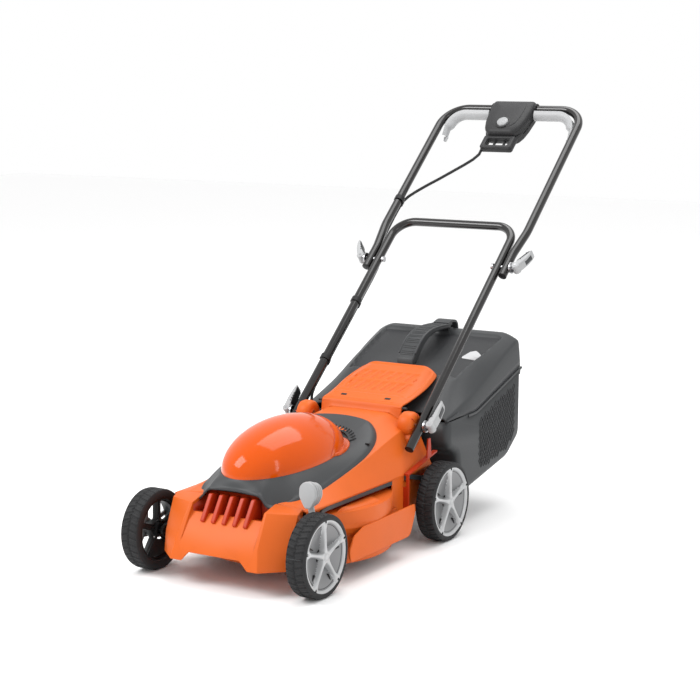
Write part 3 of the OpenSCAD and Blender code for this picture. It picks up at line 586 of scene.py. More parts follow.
def make_open_cap(wheel):
    """Silver five-spoke trim with open pockets."""
    plate(f"cap_{wheel.name}_trim", [circle(wheel.trim, 120)] + wheel.pockets(20, wheel.trim - 6, 5.0, 8),
          wheel.half - 5, wheel.half + 0.3, 1.0, wheel.frame, SILVER, wheel.body, "cap_" + wheel.name)


def make_hub_boss(wheel):
    node = "cap_" + wheel.name
    profile = [(0.01, -3), (9.4, -3), (9.4, 0.4), (8.8, 1.0), (7.4, 1.0), (7.2, 0.3), (6.4, 0.3),
               (6.1, 1.0), (3.0, 1.5), (0.01, 1.6)]
    turned(node + "_boss", [(r, wheel.half + h) for r, h in profile], 48, wheel.frame, SILVER,
           wheel.body, slot=SLOT_OF[node], sharp=40)


def make_rim(wheel, open_pockets):
    node = "rim_" + wheel.name
    slot = SLOT_OF[node]
    half, rim = wheel.half, wheel.radius - 17.5
    profile = [(rim + 0.4, -half + 2), (rim + 0.4, half - 5), (rim - 3.5, half - 5), (rim - 5, half - 9),
               (rim - 5, -half + 7), (rim - 3, -half + 2)]
    turned(node + "_barrel", profile, 120, wheel.frame, BLACK, wheel.body, node, sharp=35)
    holes = wheel.pockets(23, rim - 8, 6.5, 10) if open_pockets else []
    plate(node + "_disc", [circle(rim - 4.2, 100)] + holes, -half + 8, -half + 20, 2.0, wheel.frame,
          BLACK, wheel.body, slot=slot)
    # Ribs on the spokes and the tube round the axle.
    hub = [(9.5, -half + 3), (15, -half + 3), (16.5, -half + 8), (16.5, half - 12), (9.5, half - 12)]
    turned(node + "_hub", hub, 60, wheel.frame, BLACK, wheel.body, slot=slot)
    rib = fillet([(15, -3), (rim - 5, -2.2), (rim - 5, 2.2), (15, 3)], 0.8, 3)
    for s in range(SPOKES):
        plate(f"{node}_rib_{s}", [rib], -half + 5, -half + 9, 0.6, wheel.at_spoke(s), BLACK, wheel.body,
              slot=slot)


for end in ("front", "rear"):
    for _, hand in SIDES:
        made = Wheel(f"{end}_{hand}")
        left = hand == "left"
        make_tyre(made)
        make_rim(made, open_pockets=left)
        (make_open_cap if left else make_dished_cap)(made)
        make_hub_boss(made)


# ---- Deck ----

DECK_FRONT, DECK_REAR = 26, 520
# Where the shell's side wall meets the skirt: half width and height.
DECK_SIDE, DECK_SILL = 163, 158
# Stations along Y: (y, half width, height of the edge, height of the middle).
DECK_SECTIONS = ((26, 128, 163, 168), (138, 132, 180, 186), (300, 132, 211, 226),
                 (430, 128, 238, 262), (520, 122, 246, 272))


def along_sections(sections, y):
    """The section's values at y, on a smooth curve through the stations."""
    n = len(sections)
    i = max(j for j in range(n - 1) if sections[j][0] <= y or j == 0)
    y0, y1 = sections[i][0], sections[i + 1][0]
    t = min(1.0, max(0.0, (y - y0) / (y1 - y0)))
    out = []
    for k in range(1, len(sections[0])):
        a, b = sections[i][k], sections[i + 1][k]
        before, after = sections[max(i - 1, 0)], sections[min(i + 2, n - 1)]
        ma = (b - before[k]) / max(1e-6, y1 - before[0]) * (y1 - y0)
        mb = (after[k] - a) / max(1e-6, after[0] - y0) * (y1 - y0)
        out.append((2 * t ** 3 - 3 * t * t + 1) * a + (t ** 3 - 2 * t * t + t) * ma
                   + (-2 * t ** 3 + 3 * t * t) * b + (t ** 3 - t * t) * mb)
    return out


def deck_height(x, y):
    """Height of the upper deck over a place, before its edges are rounded."""
    half, edge, middle = along_sections(DECK_SECTIONS, min(DECK_REAR, max(DECK_FRONT, y)))
    x = abs(x)
    if x <= 0.6 * half:
        return middle
    if x <= half:
        return middle + (edge - middle) * (x - 0.6 * half) / (0.4 * half)
    return edge + (DECK_SILL - edge) * (x - half) / (DECK_SIDE - half)


def deck_section(y):
    half, edge, middle = along_sections(DECK_SECTIONS, y)
    right = fillet([(146, 136.1), (DECK_SIDE, DECK_SILL), (half, edge), (0.6 * half, middle),
                    (0, middle + 1)], [0, 3, 5, 60, 0], 7, closed=False)
    return [(x, y, z) for x, z in right] + [(-x, y, z) for x, z in reversed(right[:-1])]


def make_deck_shell():
    """The deck's skin, left out under the dome and round the flap's hinge."""
    rows = [deck_section(DECK_FRONT + (DECK_REAR - DECK_FRONT) * i / 76) for i in range(77)]
    verts = [p for row in rows for p in row]
    kept = []
    for f in grid_faces(len(rows), len(rows[0])):
        x, y, z = (sum(verts[i][k] for i in f) / 4 for k in range(3))
        under_dome = (x / 112) ** 2 + ((y - DOME_Y) / 188) ** 2 < 1 and z > 165
        hinge_recess = y > 489 and abs(x) < 103 and z > 250
        if not under_dome and not hinge_recess:
            kept.append(f)
    skin("deck_shell_skin", verts, kept, 3.2, ORANGE, "deck", "deck_shell", sharp=28)


def make_knuckles():
    """Round pods that carry the handle, each with a screw boss and a bracket under it."""
    profile = [(4.1, 113.5), (9, 113.5), (10, 115), (17, 112), (23.5, 113.5), (27.4, 118), (28.6, 126),
               (28.2, 137), (25.4, 143.5), (20, 147), (13, 147.4), (11, 146.2), (4.1, 146.2)]
    rib = fillet([(12.5, -1.0), (24.5, -0.8), (24.5, 0.8), (12.5, 1.0)], 0.5, 2)
    bracket = fillet([(452, 200), (500, 212), (502, 250), (470, 246), (452, 224)], 5, 4)
    for side, tag in SIDES:
        pod = outward(side, (0, PIVOT.y, PIVOT.z))
        turned("knuckle_" + tag, profile, 72, pod, ORANGE, "deck",
               "handle_knuckles" if side > 0 else (), sharp=40)
        for k in range(6):
            plate(f"knuckle_{tag}_rib_{k}", [rib], 141, 147.5, 0.3, pod @ rotated(60 * k + 15, "Z"),
                  TRIM_RED, "deck", slot="body_orange")
        plate("knuckle_block_" + tag, [bracket], 119, 145, 2.5, side_frame(side), ORANGE, "deck")


# ---- Front ----

def make_fascia():
    """Front panel: a central face leaning back between two corner blocks, with a notched lower edge."""
    right = {
        "a0": (0, -68.5, 69), "a1": (61, -68, 69), "a2": (79, -69, 50), "a3": (104, -69.5, 50),
        "b0": (0, -57, 92), "b2": (87, -53.5, 92), "b3": (97, -57.5, 92),
        "c0": (0, -31, 123), "c2": (86, -31, 123),
        "t2": (86, -16, 156), "t3": (91, -17, 156),
        "e3": (150, -27, 50), "e4": (150, -21, 92), "e5": (150, 6, 155),
        "g3": (150, 24, 50), "g4": (150, 24, 92), "g5": (150, 24, 163.5),
        "h2": (86, 24, 166.5), "d0": (0, -15, 138), "d2": (86, -15, 138),
        "k0": (0, 24, 130), "k2": (86, 24, 130)}
    faces = ("a0 a1 b0", "a1 a2 b2 b0", "a2 a3 b3 b2", "b0 b2 c2 c0", "b2 b3 t3 t2", "b2 t2 c2",
             "a3 e3 e4 b3", "b3 e4 e5 t3", "e3 g3 g4 e4", "e4 g4 g5 e5", "t3 e5 g5 h2 t2",
             "c2 t2 h2 k2 d2", "c0 c2 d2 d0", "d0 d2 k2 k0")
    names = list(right)
    verts = [(side * x, y, z) for side, _ in SIDES for x, y, z in right.values()]
    face_list = [tuple(first + names.index(k) for k in f.split()) for first in (0, len(names))
                 for f in faces]
    fascia = new_object("fascia_panel", verts, face_list)
    clean(fascia, merge=1e-5, flatten=0.5)
    dress(soften(thicken(fascia, 3.6), 2.2, 4, 18), ORANGE, "deck", "front_fascia", sharp=45)
    # The dark red tray behind the fins.
    half, front, back = 85.5, -14, 22.5
    tray = new_object("fin_tray", [
        (-half, front, 138.5), (half, front, 138.5), (half, 2, 131.5), (-half, 2, 131.5),
        (-half, back, 131.5), (half, back, 131.5), (70, back, 176), (-70, back, 176),
        (-half, front, 150), (half, front, 150), (-half, back, 158), (half, back, 158)],
        [(0, 1, 2, 3), (3, 2, 5, 4), (4, 5, 11, 6, 7, 10), (0, 3, 4, 10, 8), (1, 9, 11, 5, 2)])
    dress(thicken(tray, 1.2, 1), TRIM_RED, "deck")
    fin = fillet([(-35, 126), (-27, 120), (18, 122), (20, 172), (-3, 175)], [3, 3, 2, 2, 4], 4)
    for i in range(-2, 3):
        x = i * 25.5
        plate(f"vent_fin_{i + 3}", [fin], x - 4.4, x + 4.4, 1.5, side_frame(1), TRIM_RED, "deck",
              "vent_fins" if i == -2 else ())


# ---- Motor cover ----

SHROUD = ((0, 3), (56, 3), (84, 5), (106, 36), (119, 66), (129, 110), (131, 150), (131, 250), (126, 315),
          (113, 366), (92, 398), (62, 415), (28, 423), (0, 425))
DOME_Y, DOME_Z = 185, 219
DOME_HALF = (100, 174, 84)
DOME_TILT = math.radians(4.5)


def dome_point(lon, lat, grow=0.0):
    """A place on the dome: lon round from the right-hand side, lat up from its rim."""
    hx, hy, hz = (h + grow for h in DOME_HALF)
    v = Vector((hx * math.cos(lat) * math.cos(lon), hy * math.cos(lat) * math.sin(lon), hz * math.sin(lat)))
    v = Matrix.Rotation(DOME_TILT, 4, "X") @ v
    return Vector((v.x, DOME_Y + v.y, DOME_Z + v.z))


def lip_height(x):
    """Lower edge of the shroud's front lip, an arch over the fins."""
    x = abs(x)
    return 187 - 3 * (x / 57) ** 2 if x < 57 else 184 - 24 * step(57, 88, x)


def make_shroud():
    outer = spline([(x, y, 0) for x, y in SHROUD])
    ring = [(p.x, p.y) for p in outer] + [(-p.x, p.y) for p in reversed(outer[1:-1])]
    shares = [0, 0.02, 0.05, 0.1, 0.16, 0.24, 0.35, 0.5, 0.65, 0.8, 0.92, 1.0]
    wall_share = shares[4]
    verts = []
    for x, y in ring:
        lon = math.atan2((y - DOME_Y) / (DOME_HALF[1] + 6), x / (DOME_HALF[0] + 6))
        inner = dome_point(lon, 0, 0.6)
        front = 1 - step(14, 66, y)
        low = lip_height(x) * front + (deck_height(x, y) + 0.4) * (1 - front)
        rise = 8.0 * (1 - front) + 4 * front
        verts.append((x * 0.985, y, low - 3.5))
        for t in shares:
            up = min(1.0, t / wall_share)
            s = max(0.0, (t - wall_share) / (1 - wall_share))
            z = low + rise * math.sin(up * math.pi / 2)
            z += (inner.z + 1.5 - low - rise) * s + 2.0 * math.sin(math.pi * s)
            verts.append((x + (inner.x - x) * t, y + (inner.y - y) * t, z))
        verts.append((inner.x * 0.99, DOME_Y + (inner.y - DOME_Y) * 0.99, inner.z - 4))
    faces = grid_faces(len(ring), len(shares) + 2, wrap_rows=True)
    skin("shroud_skin", verts, faces, 2.6, SLATE, "deck", "motor_shroud", sharp=30)
    surface = BVHTree.FromPolygons(verts, faces)

    def on_shroud(degrees, grow):
        a = math.radians(degrees)
        x, y = (DOME_HALF[0] + grow) * math.cos(a), DOME_Y + (DOME_HALF[1] + grow) * math.sin(a)
        return surface.ray_cast(Vector((x, y, 400)), Vector((0, 0, -1)))[0]

    # Vent behind the dome: a dark slot in an arc with ribs across it.
    arc = [on_shroud(48 + 62 * k / 30, 17) + Vector((0, 0, 0.3)) for k in range(31)]
    strip("shroud_vent", arc, [(-8, -1.5), (8, -1.5), (8, 0.6), (-8, 0.6)], BLACK, "deck",
          slot="slate_plastic", sharp=40)
    section = rectangle(-1.9, -1, 1.9, 2.8, 1.2)
    for k in range(13):
        p, q = on_shroud(50 + 58 * k / 12, 10), on_shroud(50 + 58 * k / 12, 25)
        strip(f"shroud_rib_{k + 1}", [p, p.lerp(q, 0.5), q], section, SLATE, "deck", sharp=40)
    plate("shroud_notch", [block(5, 3, 1)], -2, 1.6, 0.4,
          DECK @ moved(114, 330, deck_height(114, 330) + 9.5), BLACK, "deck")


def make_dome():
    rings, steps = 40, 128
    lons = [2 * math.pi * k / steps for k in range(steps)]
    verts = [dome_point(lon, math.pi / 2 * (1 - i / (rings - 1))) for i in range(rings) for lon in lons]
    verts += [dome_point(lon, 0, -0.4) - Vector((0, 0, 3)) for lon in lons]
    skin("dome_cover", verts, grid_faces(rings + 1, steps, wrap_cols=True), 2.5, GLOSS_ORANGE, "deck",
         "motor_dome", sharp=60)
    # Seam arc over the back of the dome.
    arc = []
    for k in range(49):
        lat = math.radians(4 + 52 * math.sin(math.radians(180 * k / 48)) ** 0.8)
        arc.append(dome_point(math.radians(8 + 164 * k / 48), lat, 0.1))
    strip("dome_seam", arc, circle(0.7, 8), TRIM_RED, "deck", slot="dome_orange")

    def rim_point(degrees, grow):
        a = math.radians(degrees)
        return ((DOME_HALF[0] + grow) * math.cos(a), (DOME_HALF[1] + grow) * math.sin(a))

    # The lip that the cover unclips by, low at its rear right.
    near = [rim_point(14 + 52 * k / 16, -3) for k in range(17)]
    far = [rim_point(66 - 52 * k / 16, 12 * math.sin(math.pi * k / 16) ** 0.6) for k in range(17)]
    plate("dome_tab", [fillet(near + far, 1, 2)], -2, 6.5, 2.4,
          DECK @ moved(0, DOME_Y, DOME_Z) @ Matrix.Rotation(DOME_TILT, 4, "X"), GLOSS_ORANGE, "deck",
          sharp=40)


make_deck_shell()
make_knuckles()
make_fascia()
make_shroud()
make_dome()


# ---- Lower deck ----

def make_bulges():
    """The rounded step over each side of the blade chamber, above the skirt."""
    front, length, chamber_y, chamber_r = 112, 254, 232, 200.5
    for side, tag in SIDES:
        rows = []
        for i in range(41):
            t = i / 40
            y = front + length * t
            reach = math.sqrt(chamber_r ** 2 - (y - chamber_y) ** 2)
            top = 141 - 62 * step(0.55, 1.0, t) - 8 * (1 - step(0, 0.18, t))
            ledge = 104 - 16 * t
            profile = fillet([(reach - 44, top + 1), (reach - 14, top - 2), (reach - 1, ledge + 9),
                              (reach + 2.0, ledge), (reach + 0.5, ledge - 6), (reach + 0.5, 84)],
                             [0, 14, 8, 2, 2, 0], 5, closed=False)
            rows.append([(side * max(DECK_SIDE + 0.5, x), y, z) for x, z in profile])
        skin("chamber_bulge_" + tag, [p for r in rows for p in r], grid_faces(len(rows), len(rows[0])),
             2.5, ORANGE, "deck", sharp=40)


def make_skirts():
    """Flared skirt panels with rounded corners, a darker thickness and short ribs behind."""
    panel = fillet([(108, 22), (346, 22), (376, 66), (377, 84), (170, 82), (130, 70), (108, 44)],
                   [10, 26, 20, 5, 30, 26, 16], 7)
    core = fillet([(112, 26), (342, 26), (370, 66), (371, 80), (172, 78), (134, 67), (112, 44)],
                  [9, 24, 18, 4, 28, 24, 14], 7)
    shelf = rectangle(150, 150, 204, 345, 3)
    for side, tag in SIDES:
        lean = side_frame(side) @ moved(0, 21, 0) @ rotated(-6, "X") @ moved(0, -21, 0)
        plate("skirt_panel_" + tag, [panel], 205.5, 209.5, 0.9, lean, ORANGE, "deck",
              "side_skirts" if side > 0 else ())
        plate("skirt_core_" + tag, [core], 202.5, 206, 0.6, lean, TRIM_RED, "deck")
        plate("skirt_shelf_" + tag, [[(x * side, y) for x, y in shelf]], 76.5, 80, 0.6, DECK, ORANGE,
              "deck")
        for k in range(3):
            y = 318 + 14 * k
            rib = fillet([(y, 78), (y + 6, 78), (y + 6, 91), (y + 2, 91)], 0.8, 3)
            plate(f"skirt_rib_{tag}_{k + 1}", [rib], 176, 201, 0.7, side_frame(side), ORANGE, "deck")


def make_webs():
    """Walls that close the deck between the blade chamber and the rear wheel brackets."""
    web = rectangle(352, 64, 402, 158, 2)
    for side, tag in SIDES:
        plate("deck_web_" + tag, [web], 158, 161, 0.6, side_frame(side), ORANGE, "deck")


make_bulges()
make_skirts()
make_webs()


# ---- Rear flap ----

FLAP_FRONT, FLAP_REAR = 486, 672
# Stations along Y: (y, half width, height of the edge, height of the crown).
FLAP_SECTIONS = ((486, 100, 270, 271), (491, 101, 279.5, 281.5), (499, 101.5, 285.5, 288),
                 (506, 102, 287, 291), (520, 103, 289, 296), (560, 106, 298, 310), (600, 108, 310, 326),
                 (640, 103, 321, 340), (660, 97, 327, 345), (672, 84, 329, 344))
# Rows of the skin in front of the hinge line, which are fixed to the deck.
HOOD_ROWS = 8


def flap_height(x, y, half, edge, crown):
    u = abs(x) / half
    z = crown + (edge - crown) * min(1.0, max(0.0, (u - 0.62) / 0.38)) ** 2.2
    near_side, near_back = (1 - u) * half, FLAP_REAR - y
    z -= 3.6 * step(7, 13, near_side) * step(9, 17, near_back) * step(527, 534, y)
    z -= 7 * (1 - step(0, 9, near_back)) ** 2
    # Embossed bars, slanting, in two rows.
    if 548 < y < 628 and abs(x) < 78:
        bar = ((x - 0.32 * (y - 588)) / 22.0) % 1
        row = step(548, 551, y) * (1 - step(582, 585, y)) + step(592, 595, y) * (1 - step(624, 627, y))
        z -= 2.8 * row * step(0.16, 0.24, bar) * (1 - step(0.76, 0.84, bar))
    # The front edge comes down on the deck.
    return z + (deck_height(x, FLAP_FRONT) + 0.9 - z) * (1 - step(486.5, 494, y))


def make_flap():
    """Hinged flap with a raised rim, embossed bars and hinge slots, and its fixed hood."""
    rows, cols = 110, 121
    verts = []
    for i in range(rows):
        y = FLAP_FRONT + (FLAP_REAR - FLAP_FRONT) * i / (rows - 1)
        half, edge, crown = along_sections(FLAP_SECTIONS, y)
        for j in range(cols):
            x = half * (-1 + 2 * j / (cols - 1))
            verts.append((x, y, flap_height(x, y, half, edge, crown)))
    skin("flap_hood", verts[:(HOOD_ROWS + 1) * cols], grid_faces(HOOD_ROWS + 1, cols), 3.4, ORANGE,
         "deck", sharp=42)
    skin("flap_skin", verts[HOOD_ROWS * cols:], grid_faces(rows - HOOD_ROWS, cols), 3.4, ORANGE, "flap",
         "rear_flap", sharp=42)
    pin = centre("flap_pin")
    for a, b in ((-100, -77), (-59, -8), (8, 59), (77, 100)):
        barrel = [(3.1, a), (5.2, a), (5.9, a + 0.8), (5.9, b - 0.8), (5.2, b), (3.1, b)]
        turned(f"flap_barrel_{a + 101}", barrel, 32, outward(1, (0, pin.y, pin.z)), ORANGE, "flap")
    for side, tag in SIDES[::-1]:
        plate("flap_slot_" + tag, [block(7, 3.4, 1.2)], -1.6, 0.5, 0.2,
              DECK @ moved(side * 56, 512, 293.3) @ rotated(20, "X"), BLACK, "flap")


# ---- Grass box ----

# The bin's outline runs on above the seam, where it is cut off level with the lid.
BIN_OUTLINE = ((608, 71), (842, 116), (904, 160), (906, 366), (680, 296), (548, 291), (548, 192),
               (592, 170))
BIN_ROUND = 16
BOX_HALF = 188
LID_FRONT, LID_REAR = 549, 912
LID_FLAT = 181
# Stations along Y: (y, height of the seam, height of the edge, height of the crown).
LID_SECTIONS = ((546, 248, 252, 262), (600, 250, 268, 290), (680, 253, 294, 332), (760, 277.5, 329, 359),
                (820, 296, 357, 380), (870, 311, 377, 396), (888, 317, 383, 399), (900, 320.5, 380, 393),
                (912, 324, 352, 360))


def lid_seam(y):
    return 247 + (y - 545) * 5 / 135 if y < 680 else 252 + (y - 680) * 70 / 226


def inset(points, depth):
    """The outline moved inwards, edge by edge; it runs anticlockwise."""
    n, out = len(points), []
    for i in range(n):
        a, p, b = Vector(points[i - 1]), Vector(points[i]), Vector(points[(i + 1) % n])
        d0, d1 = (p - a).normalized(), (b - p).normalized()
        n0, n1 = Vector((-d0.y, d0.x)), Vector((-d1.y, d1.x))
        out.append(p + (n0 + n1) * (depth / max(0.2, 1 + n0.dot(n1))))
    return out


def make_bin():
    """The bin: its side edges rounded, open at the mouth and under the lid."""
    base = fillet(BIN_OUTLINE, [30, 70, 34, 27, 2, 27, 27, 24])
    rings = []
    for k in range(9):
        phi = math.pi / 2 * k / 8
        rings.append((-(BOX_HALF - BIN_ROUND + BIN_ROUND * math.cos(phi)), BIN_ROUND * (1 - math.sin(phi))))
    columns = both(rings + [(x, 0) for x in (-150, -96, -50)])
    middle = len(columns) // 2
    columns.insert(middle, (0, 0))
    verts = [(x, y, min(z, lid_seam(y) - 0.6)) for x, depth in columns for y, z in inset(base, depth)]
    n = len(base)
    faces = []
    for f in grid_faces(len(columns), n, wrap_cols=True):
        corners = [verts[i] for i in f]
        top = all(z > lid_seam(y) - 3.2 for _, y, z in corners)
        mouth = max(y for _, y, _ in corners) < 549.5 and max(abs(x) for x, _, _ in corners) < 97
        if not top and not mouth:
            faces.append(f)
    faces += [tuple(range(n)), tuple(range(len(verts) - 1, len(verts) - n - 1, -1))]
    skin("bin_shell", verts, faces, 2.6, SLATE, "grass_box", "box_bin", sharp=40)
    # Rim ledge under the lid, all round the sides and the back.
    for side, tag in SIDES:
        ledge = [(side * 188.6, y, lid_seam(y) - 3) for y in range(640, 905, 12)]
        strip("bin_rim_" + tag, ledge, [(-1.6, -3.4), (1.6, -2.6), (1.6, 2.2), (-1.6, 2.2)], SLATE,
              "grass_box", sharp=40)
    back = [(x, 909.5, 309 - 4 * (x / 190) ** 2) for x in range(-180, 181, 8)]
    strip("bin_rim_back", back, [(-7, -7), (7, -3), (7, 5), (-7, 5)], SLATE, "grass_box", sharp=40)
    make_grille()
    # Upright ribs on the back wall.
    rib = rectangle(-3, 168, 3, 292, 2.5, 4)
    for k in range(-3, 4):
        plate(f"bin_back_rib_{k + 4}", [rib], 0, 3.4, 1.2,
              DECK @ moved(k * 46, 903.5, 0) @ mirror(-1) @ UPRIGHT, SLATE, "grass_box")


def make_grille():
    """Raised diamonds with sunken dark centres on each side of the bin, in a rounded field."""
    pitch_y, pitch_z = 12.4, 17.0
    # Rings of each diamond, as (share of its half size, place along X).
    rings = ((0.97, 187.7), (0.90, 189.2), (0.80, 189.2), (0.77, 188.2))
    field = fillet([(690, 108), (836, 138), (872, 168), (876, 290), (706, 238), (690, 226)],
                   [20, 30, 20, 10, 12, 20])
    for side, tag in SIDES:
        verts, faces = [], []
        for row in range(60):
            for col in range(60):
                y = 686 + pitch_y * (col + 0.5 * (row % 2))
                z = 100 + pitch_z / 2 * row
                if not inside((y, z), field, 5):
                    continue
                first = len(verts)
                for reach, x in rings:
                    dy, dz = reach * 6.2, reach * 8.2
                    verts += [(side * x, y + dy, z), (side * x, y, z + dz), (side * x, y - dy, z),
                              (side * x, y, z - dz)]
                for a in range(first, first + 12, 4):
                    faces += [(a + c, a + (c + 1) % 4, a + (c + 1) % 4 + 4, a + c + 4) for c in range(4)]
                faces.append((first + 12, first + 13, first + 14, first + 15))
        grille = new_object("bin_grille_" + tag, verts, faces)
        points = grille.data.vertices
        paint(grille, (SLATE, BLACK),
              lambda poly: int(max(abs(points[v].co.x) for v in poly.vertices) < 188.3 * MM))
        dress(grille, None, "grass_box", slot="slate_plastic", sharp=20)


def inside(point, outline, margin=0):
    """Whether the point lies within the outline, at least the margin away from it."""
    y, z = point
    within = False
    for i, a in enumerate(outline):
        b = outline[(i + 1) % len(outline)]
        if (a[1] > z) != (b[1] > z) and y < (b[0] - a[0]) * (z - a[1]) / (b[1] - a[1]) + a[0]:
            within = not within
        d = Vector((b[0] - a[0], b[1] - a[1]))
        if d.length > 1e-6:
            t = max(0, min(1, ((y - a[0]) * d.x + (z - a[1]) * d.y) / d.length_squared))
            if math.hypot(y - a[0] - d.x * t, z - a[1] - d.y * t) < margin:
                return False
    return within


def lid_panel_half(y):
    """Half width of the sunken panel in the lid: it narrows to the front."""
    return 153 - 18 * (1 - step(640, 860, y))


def lid_height(x, y):
    _, edge, crown = along_sections(LID_SECTIONS, y)
    x = abs(x)
    flat = 112 + 30 * step(600, 760, y)
    shoulder = min(1.0, max(0.0, (x - flat) / (LID_FLAT - flat)))
    side = lid_panel_half(y)
    panel = (1 - step(side - 2, side + 4, x)) * step(668, 676, y) * (1 - step(862, 868, y))
    return crown - (crown - edge) * shoulder ** 1.6 - 9 * panel


def make_lid():
    """Lid with a sunken top panel, broad shoulders and upright sides; the panel's floor is darker slate, painted
    shade in the recess.
    """
    rows = 130
    verts = []
    for i in range(rows):
        y = LID_FRONT + (LID_REAR - LID_FRONT) * i / (rows - 1)
        base, edge, _ = along_sections(LID_SECTIONS, y)
        side_x = BOX_HALF - 3 * (1 - step(546, 680, y)) - 7 * step(892, 912, y) ** 2
        scale = (side_x - 7) / LID_FLAT
        right = [(side_x, base + 0.2), (side_x - 0.6, base + (edge - base) * 0.25),
                 (side_x - 2.2, base + (edge - base) * 0.6), (side_x - 4.0, edge - 7),
                 (side_x - 5.2, edge - 2.6)]
        for k in range(70, -1, -1):
            x = LID_FLAT * (k / 70)
            right.append((x * scale, lid_height(x, y)))
        verts += [(x, y, z) for x, z in right] + [(-x, y, z) for x, z in reversed(right[:-1])]
    n = len(verts) // rows
    # The last row is the back wall under the lid's rear edge.
    verts += [(x, 914.5, max(324.5, 300 + 0.35 * (z - 300))) for x, _, z in verts[-n:]]
    lid = new_object("lid_shell", verts, grid_faces(rows + 1, n))

    # The sunken panel's faces get the darker slate, painted shade in the recess.
    def choose(poly):
        c = poly.center / MM - Vector((0, FRONT.y / MM, 0))
        return int(abs(c.x) < lid_panel_half(c.y) - 1 and 672 < c.y < 864)

    paint(lid, (SLATE, SLATE_PANEL_PAINTED_SHADE), choose)
    dress(thicken(lid, 2.8), None, "grass_box", "box_lid", sharp=50)
    film = fillet([(103, 771), (111, 794), (123, 801), (134, 793), (146, 782), (148, 759), (104, 765)], 3, 3)
    top = [(x, y, lid_height(x, y) + 0.7) for x, y in film]
    low = [(x, y, z - 0.9) for x, y, z in top]
    x, y = 125, 779
    height = lid_height(x, y) + 0.75
    n = len(top)
    faces = [(i, (i + 1) % n, 2 * n) for i in range(n)]
    faces += [(i, n + i, n + (i + 1) % n, (i + 1) % n) for i in range(n)]
    faces += [(n + (i + 1) % n, n + i, 2 * n + 1) for i in range(n)]
    label = new_object("blank_film", top + low + [(x, y, height), (x, y, height - 1.0)], faces)
    dress(label, FILM, "grass_box", "box_label", sharp=60)


def make_box_handle():
    """Arched carrying handle with grip ribs along its top and a hook at its rear end."""
    arch = spline([(686, 352), (704, 372), (728, 393), (752, 405), (780, 411.5), (812, 413.5), (846, 413),
                   (872, 412)])
    under = spline([(868, 402), (846, 402), (812, 402), (784, 398), (760, 390), (738, 376), (720, 358),
                    (712, 348)])
    outline = [(p.x, p.y) for p in arch + under] + [(704, 341), (686, 336)]
    plate("box_handle_arch", [outline], -21, 21, 3.2, side_frame(1), SLATE, "grass_box", "box_handle",
          sharp=40)
    for side, tag in SIDES:
        rail = [(side * 20.5, p.x, p.y - 1.5) for p in arch[4:]]
        strip("box_handle_rail_" + tag, rail, circle(2.3, 12), SLATE, "grass_box")
    count = 26
    for k in range(count):
        at = int(3 + (len(arch) - 8) * k / (count - 1))
        p, q = arch[at:at + 2]
        turn = DECK @ moved(0, p.x, p.y) @ Matrix.Rotation(math.atan2(q.y - p.y, q.x - p.x), 4, "X")
        plate(f"box_handle_rib_{k + 1}", [block(16, 1.3, 0.9)], -1, 0.9, 0.4, turn, SLATE, "grass_box")
    hook = spline([(858, 412), (878, 417), (896, 414), (904, 401), (901, 385), (889, 374), (874, 371)])
    strip("box_handle_hook", [(0, p.x, p.y) for p in hook], [(-a, b) for a, b in block(21, 3, 2)], SLATE,
          "grass_box", sharp=45)
    web = fillet([(864, 404), (880, 402), (874, 372), (868, 372)], 2, 3)
    for side, tag in SIDES[::-1]:
        plate("box_handle_leg_" + tag, [web], 16, 20.5, 0.8, side_frame(side), SLATE, "grass_box")


make_flap()
make_bin()
make_lid()
make_box_handle()


# ---- Handles ----

TUBE_R = 10
TUBE_SIDES = 40
LOWER_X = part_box("lower_tube")[1].x / MM - TUBE_R
UPPER_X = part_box("upper_tube")[1].x / MM - TUBE_R
# The upper tube's lower ends run outside the lower tube, 2 mm clear of it.
LOW_X = LOWER_X + 2 * TUBE_R + 2
LOWER_END, UPPER_END = -66, JOINT - 28
CROSSBAR = 599
TOP_BEND = 64


def tube_path(points, radii, steps=20):
    """The route with a true arc of the given radius at each corner."""
    out = []
    for i, p in enumerate(points):
        p = Vector(p)
        if radii[i] == 0:
            out.append(p)
            continue
        a, b = (Vector(points[i - 1]) - p), (Vector(points[i + 1]) - p)
        half_angle = a.angle(b) / 2
        reach = radii[i] / math.tan(half_angle)
        a.normalize()
        b.normalize()
        c = p + (a + b).normalized() * (radii[i] / math.sin(half_angle))
        start, end = p + a * reach - c, p + b * reach - c
        out += [c + start.slerp(end, k / steps) * radii[i] for k in range(steps + 1)]
    return out


def make_tube(node, half_route, half_radii, body):
    """A bent tube from the left half of its route; it is the same on both sides."""
    route = half_route + [(-x, y, z) for x, y, z in reversed(half_route)]
    path = tube_path(route, half_radii + half_radii[::-1])
    verts, faces = swept(path, circle(TUBE_R, TUBE_SIDES), caps=False)
    inner, _ = swept(path, circle(TUBE_R - 1.5, TUBE_SIDES), caps=False)
    n = len(verts)
    faces += [tuple(n + i for i in reversed(f)) for f in grid_faces(len(path), TUBE_SIDES, wrap_cols=True)]
    for a in (0, n - TUBE_SIDES):
        faces += [(a + k, a + (k + 1) % TUBE_SIDES, n + a + (k + 1) % TUBE_SIDES, n + a + k)
                  for k in range(TUBE_SIDES)]
    dress(new_object(node + "_bent", verts + inner, faces, HANDLE), TUBE, body, node, sharp=40)


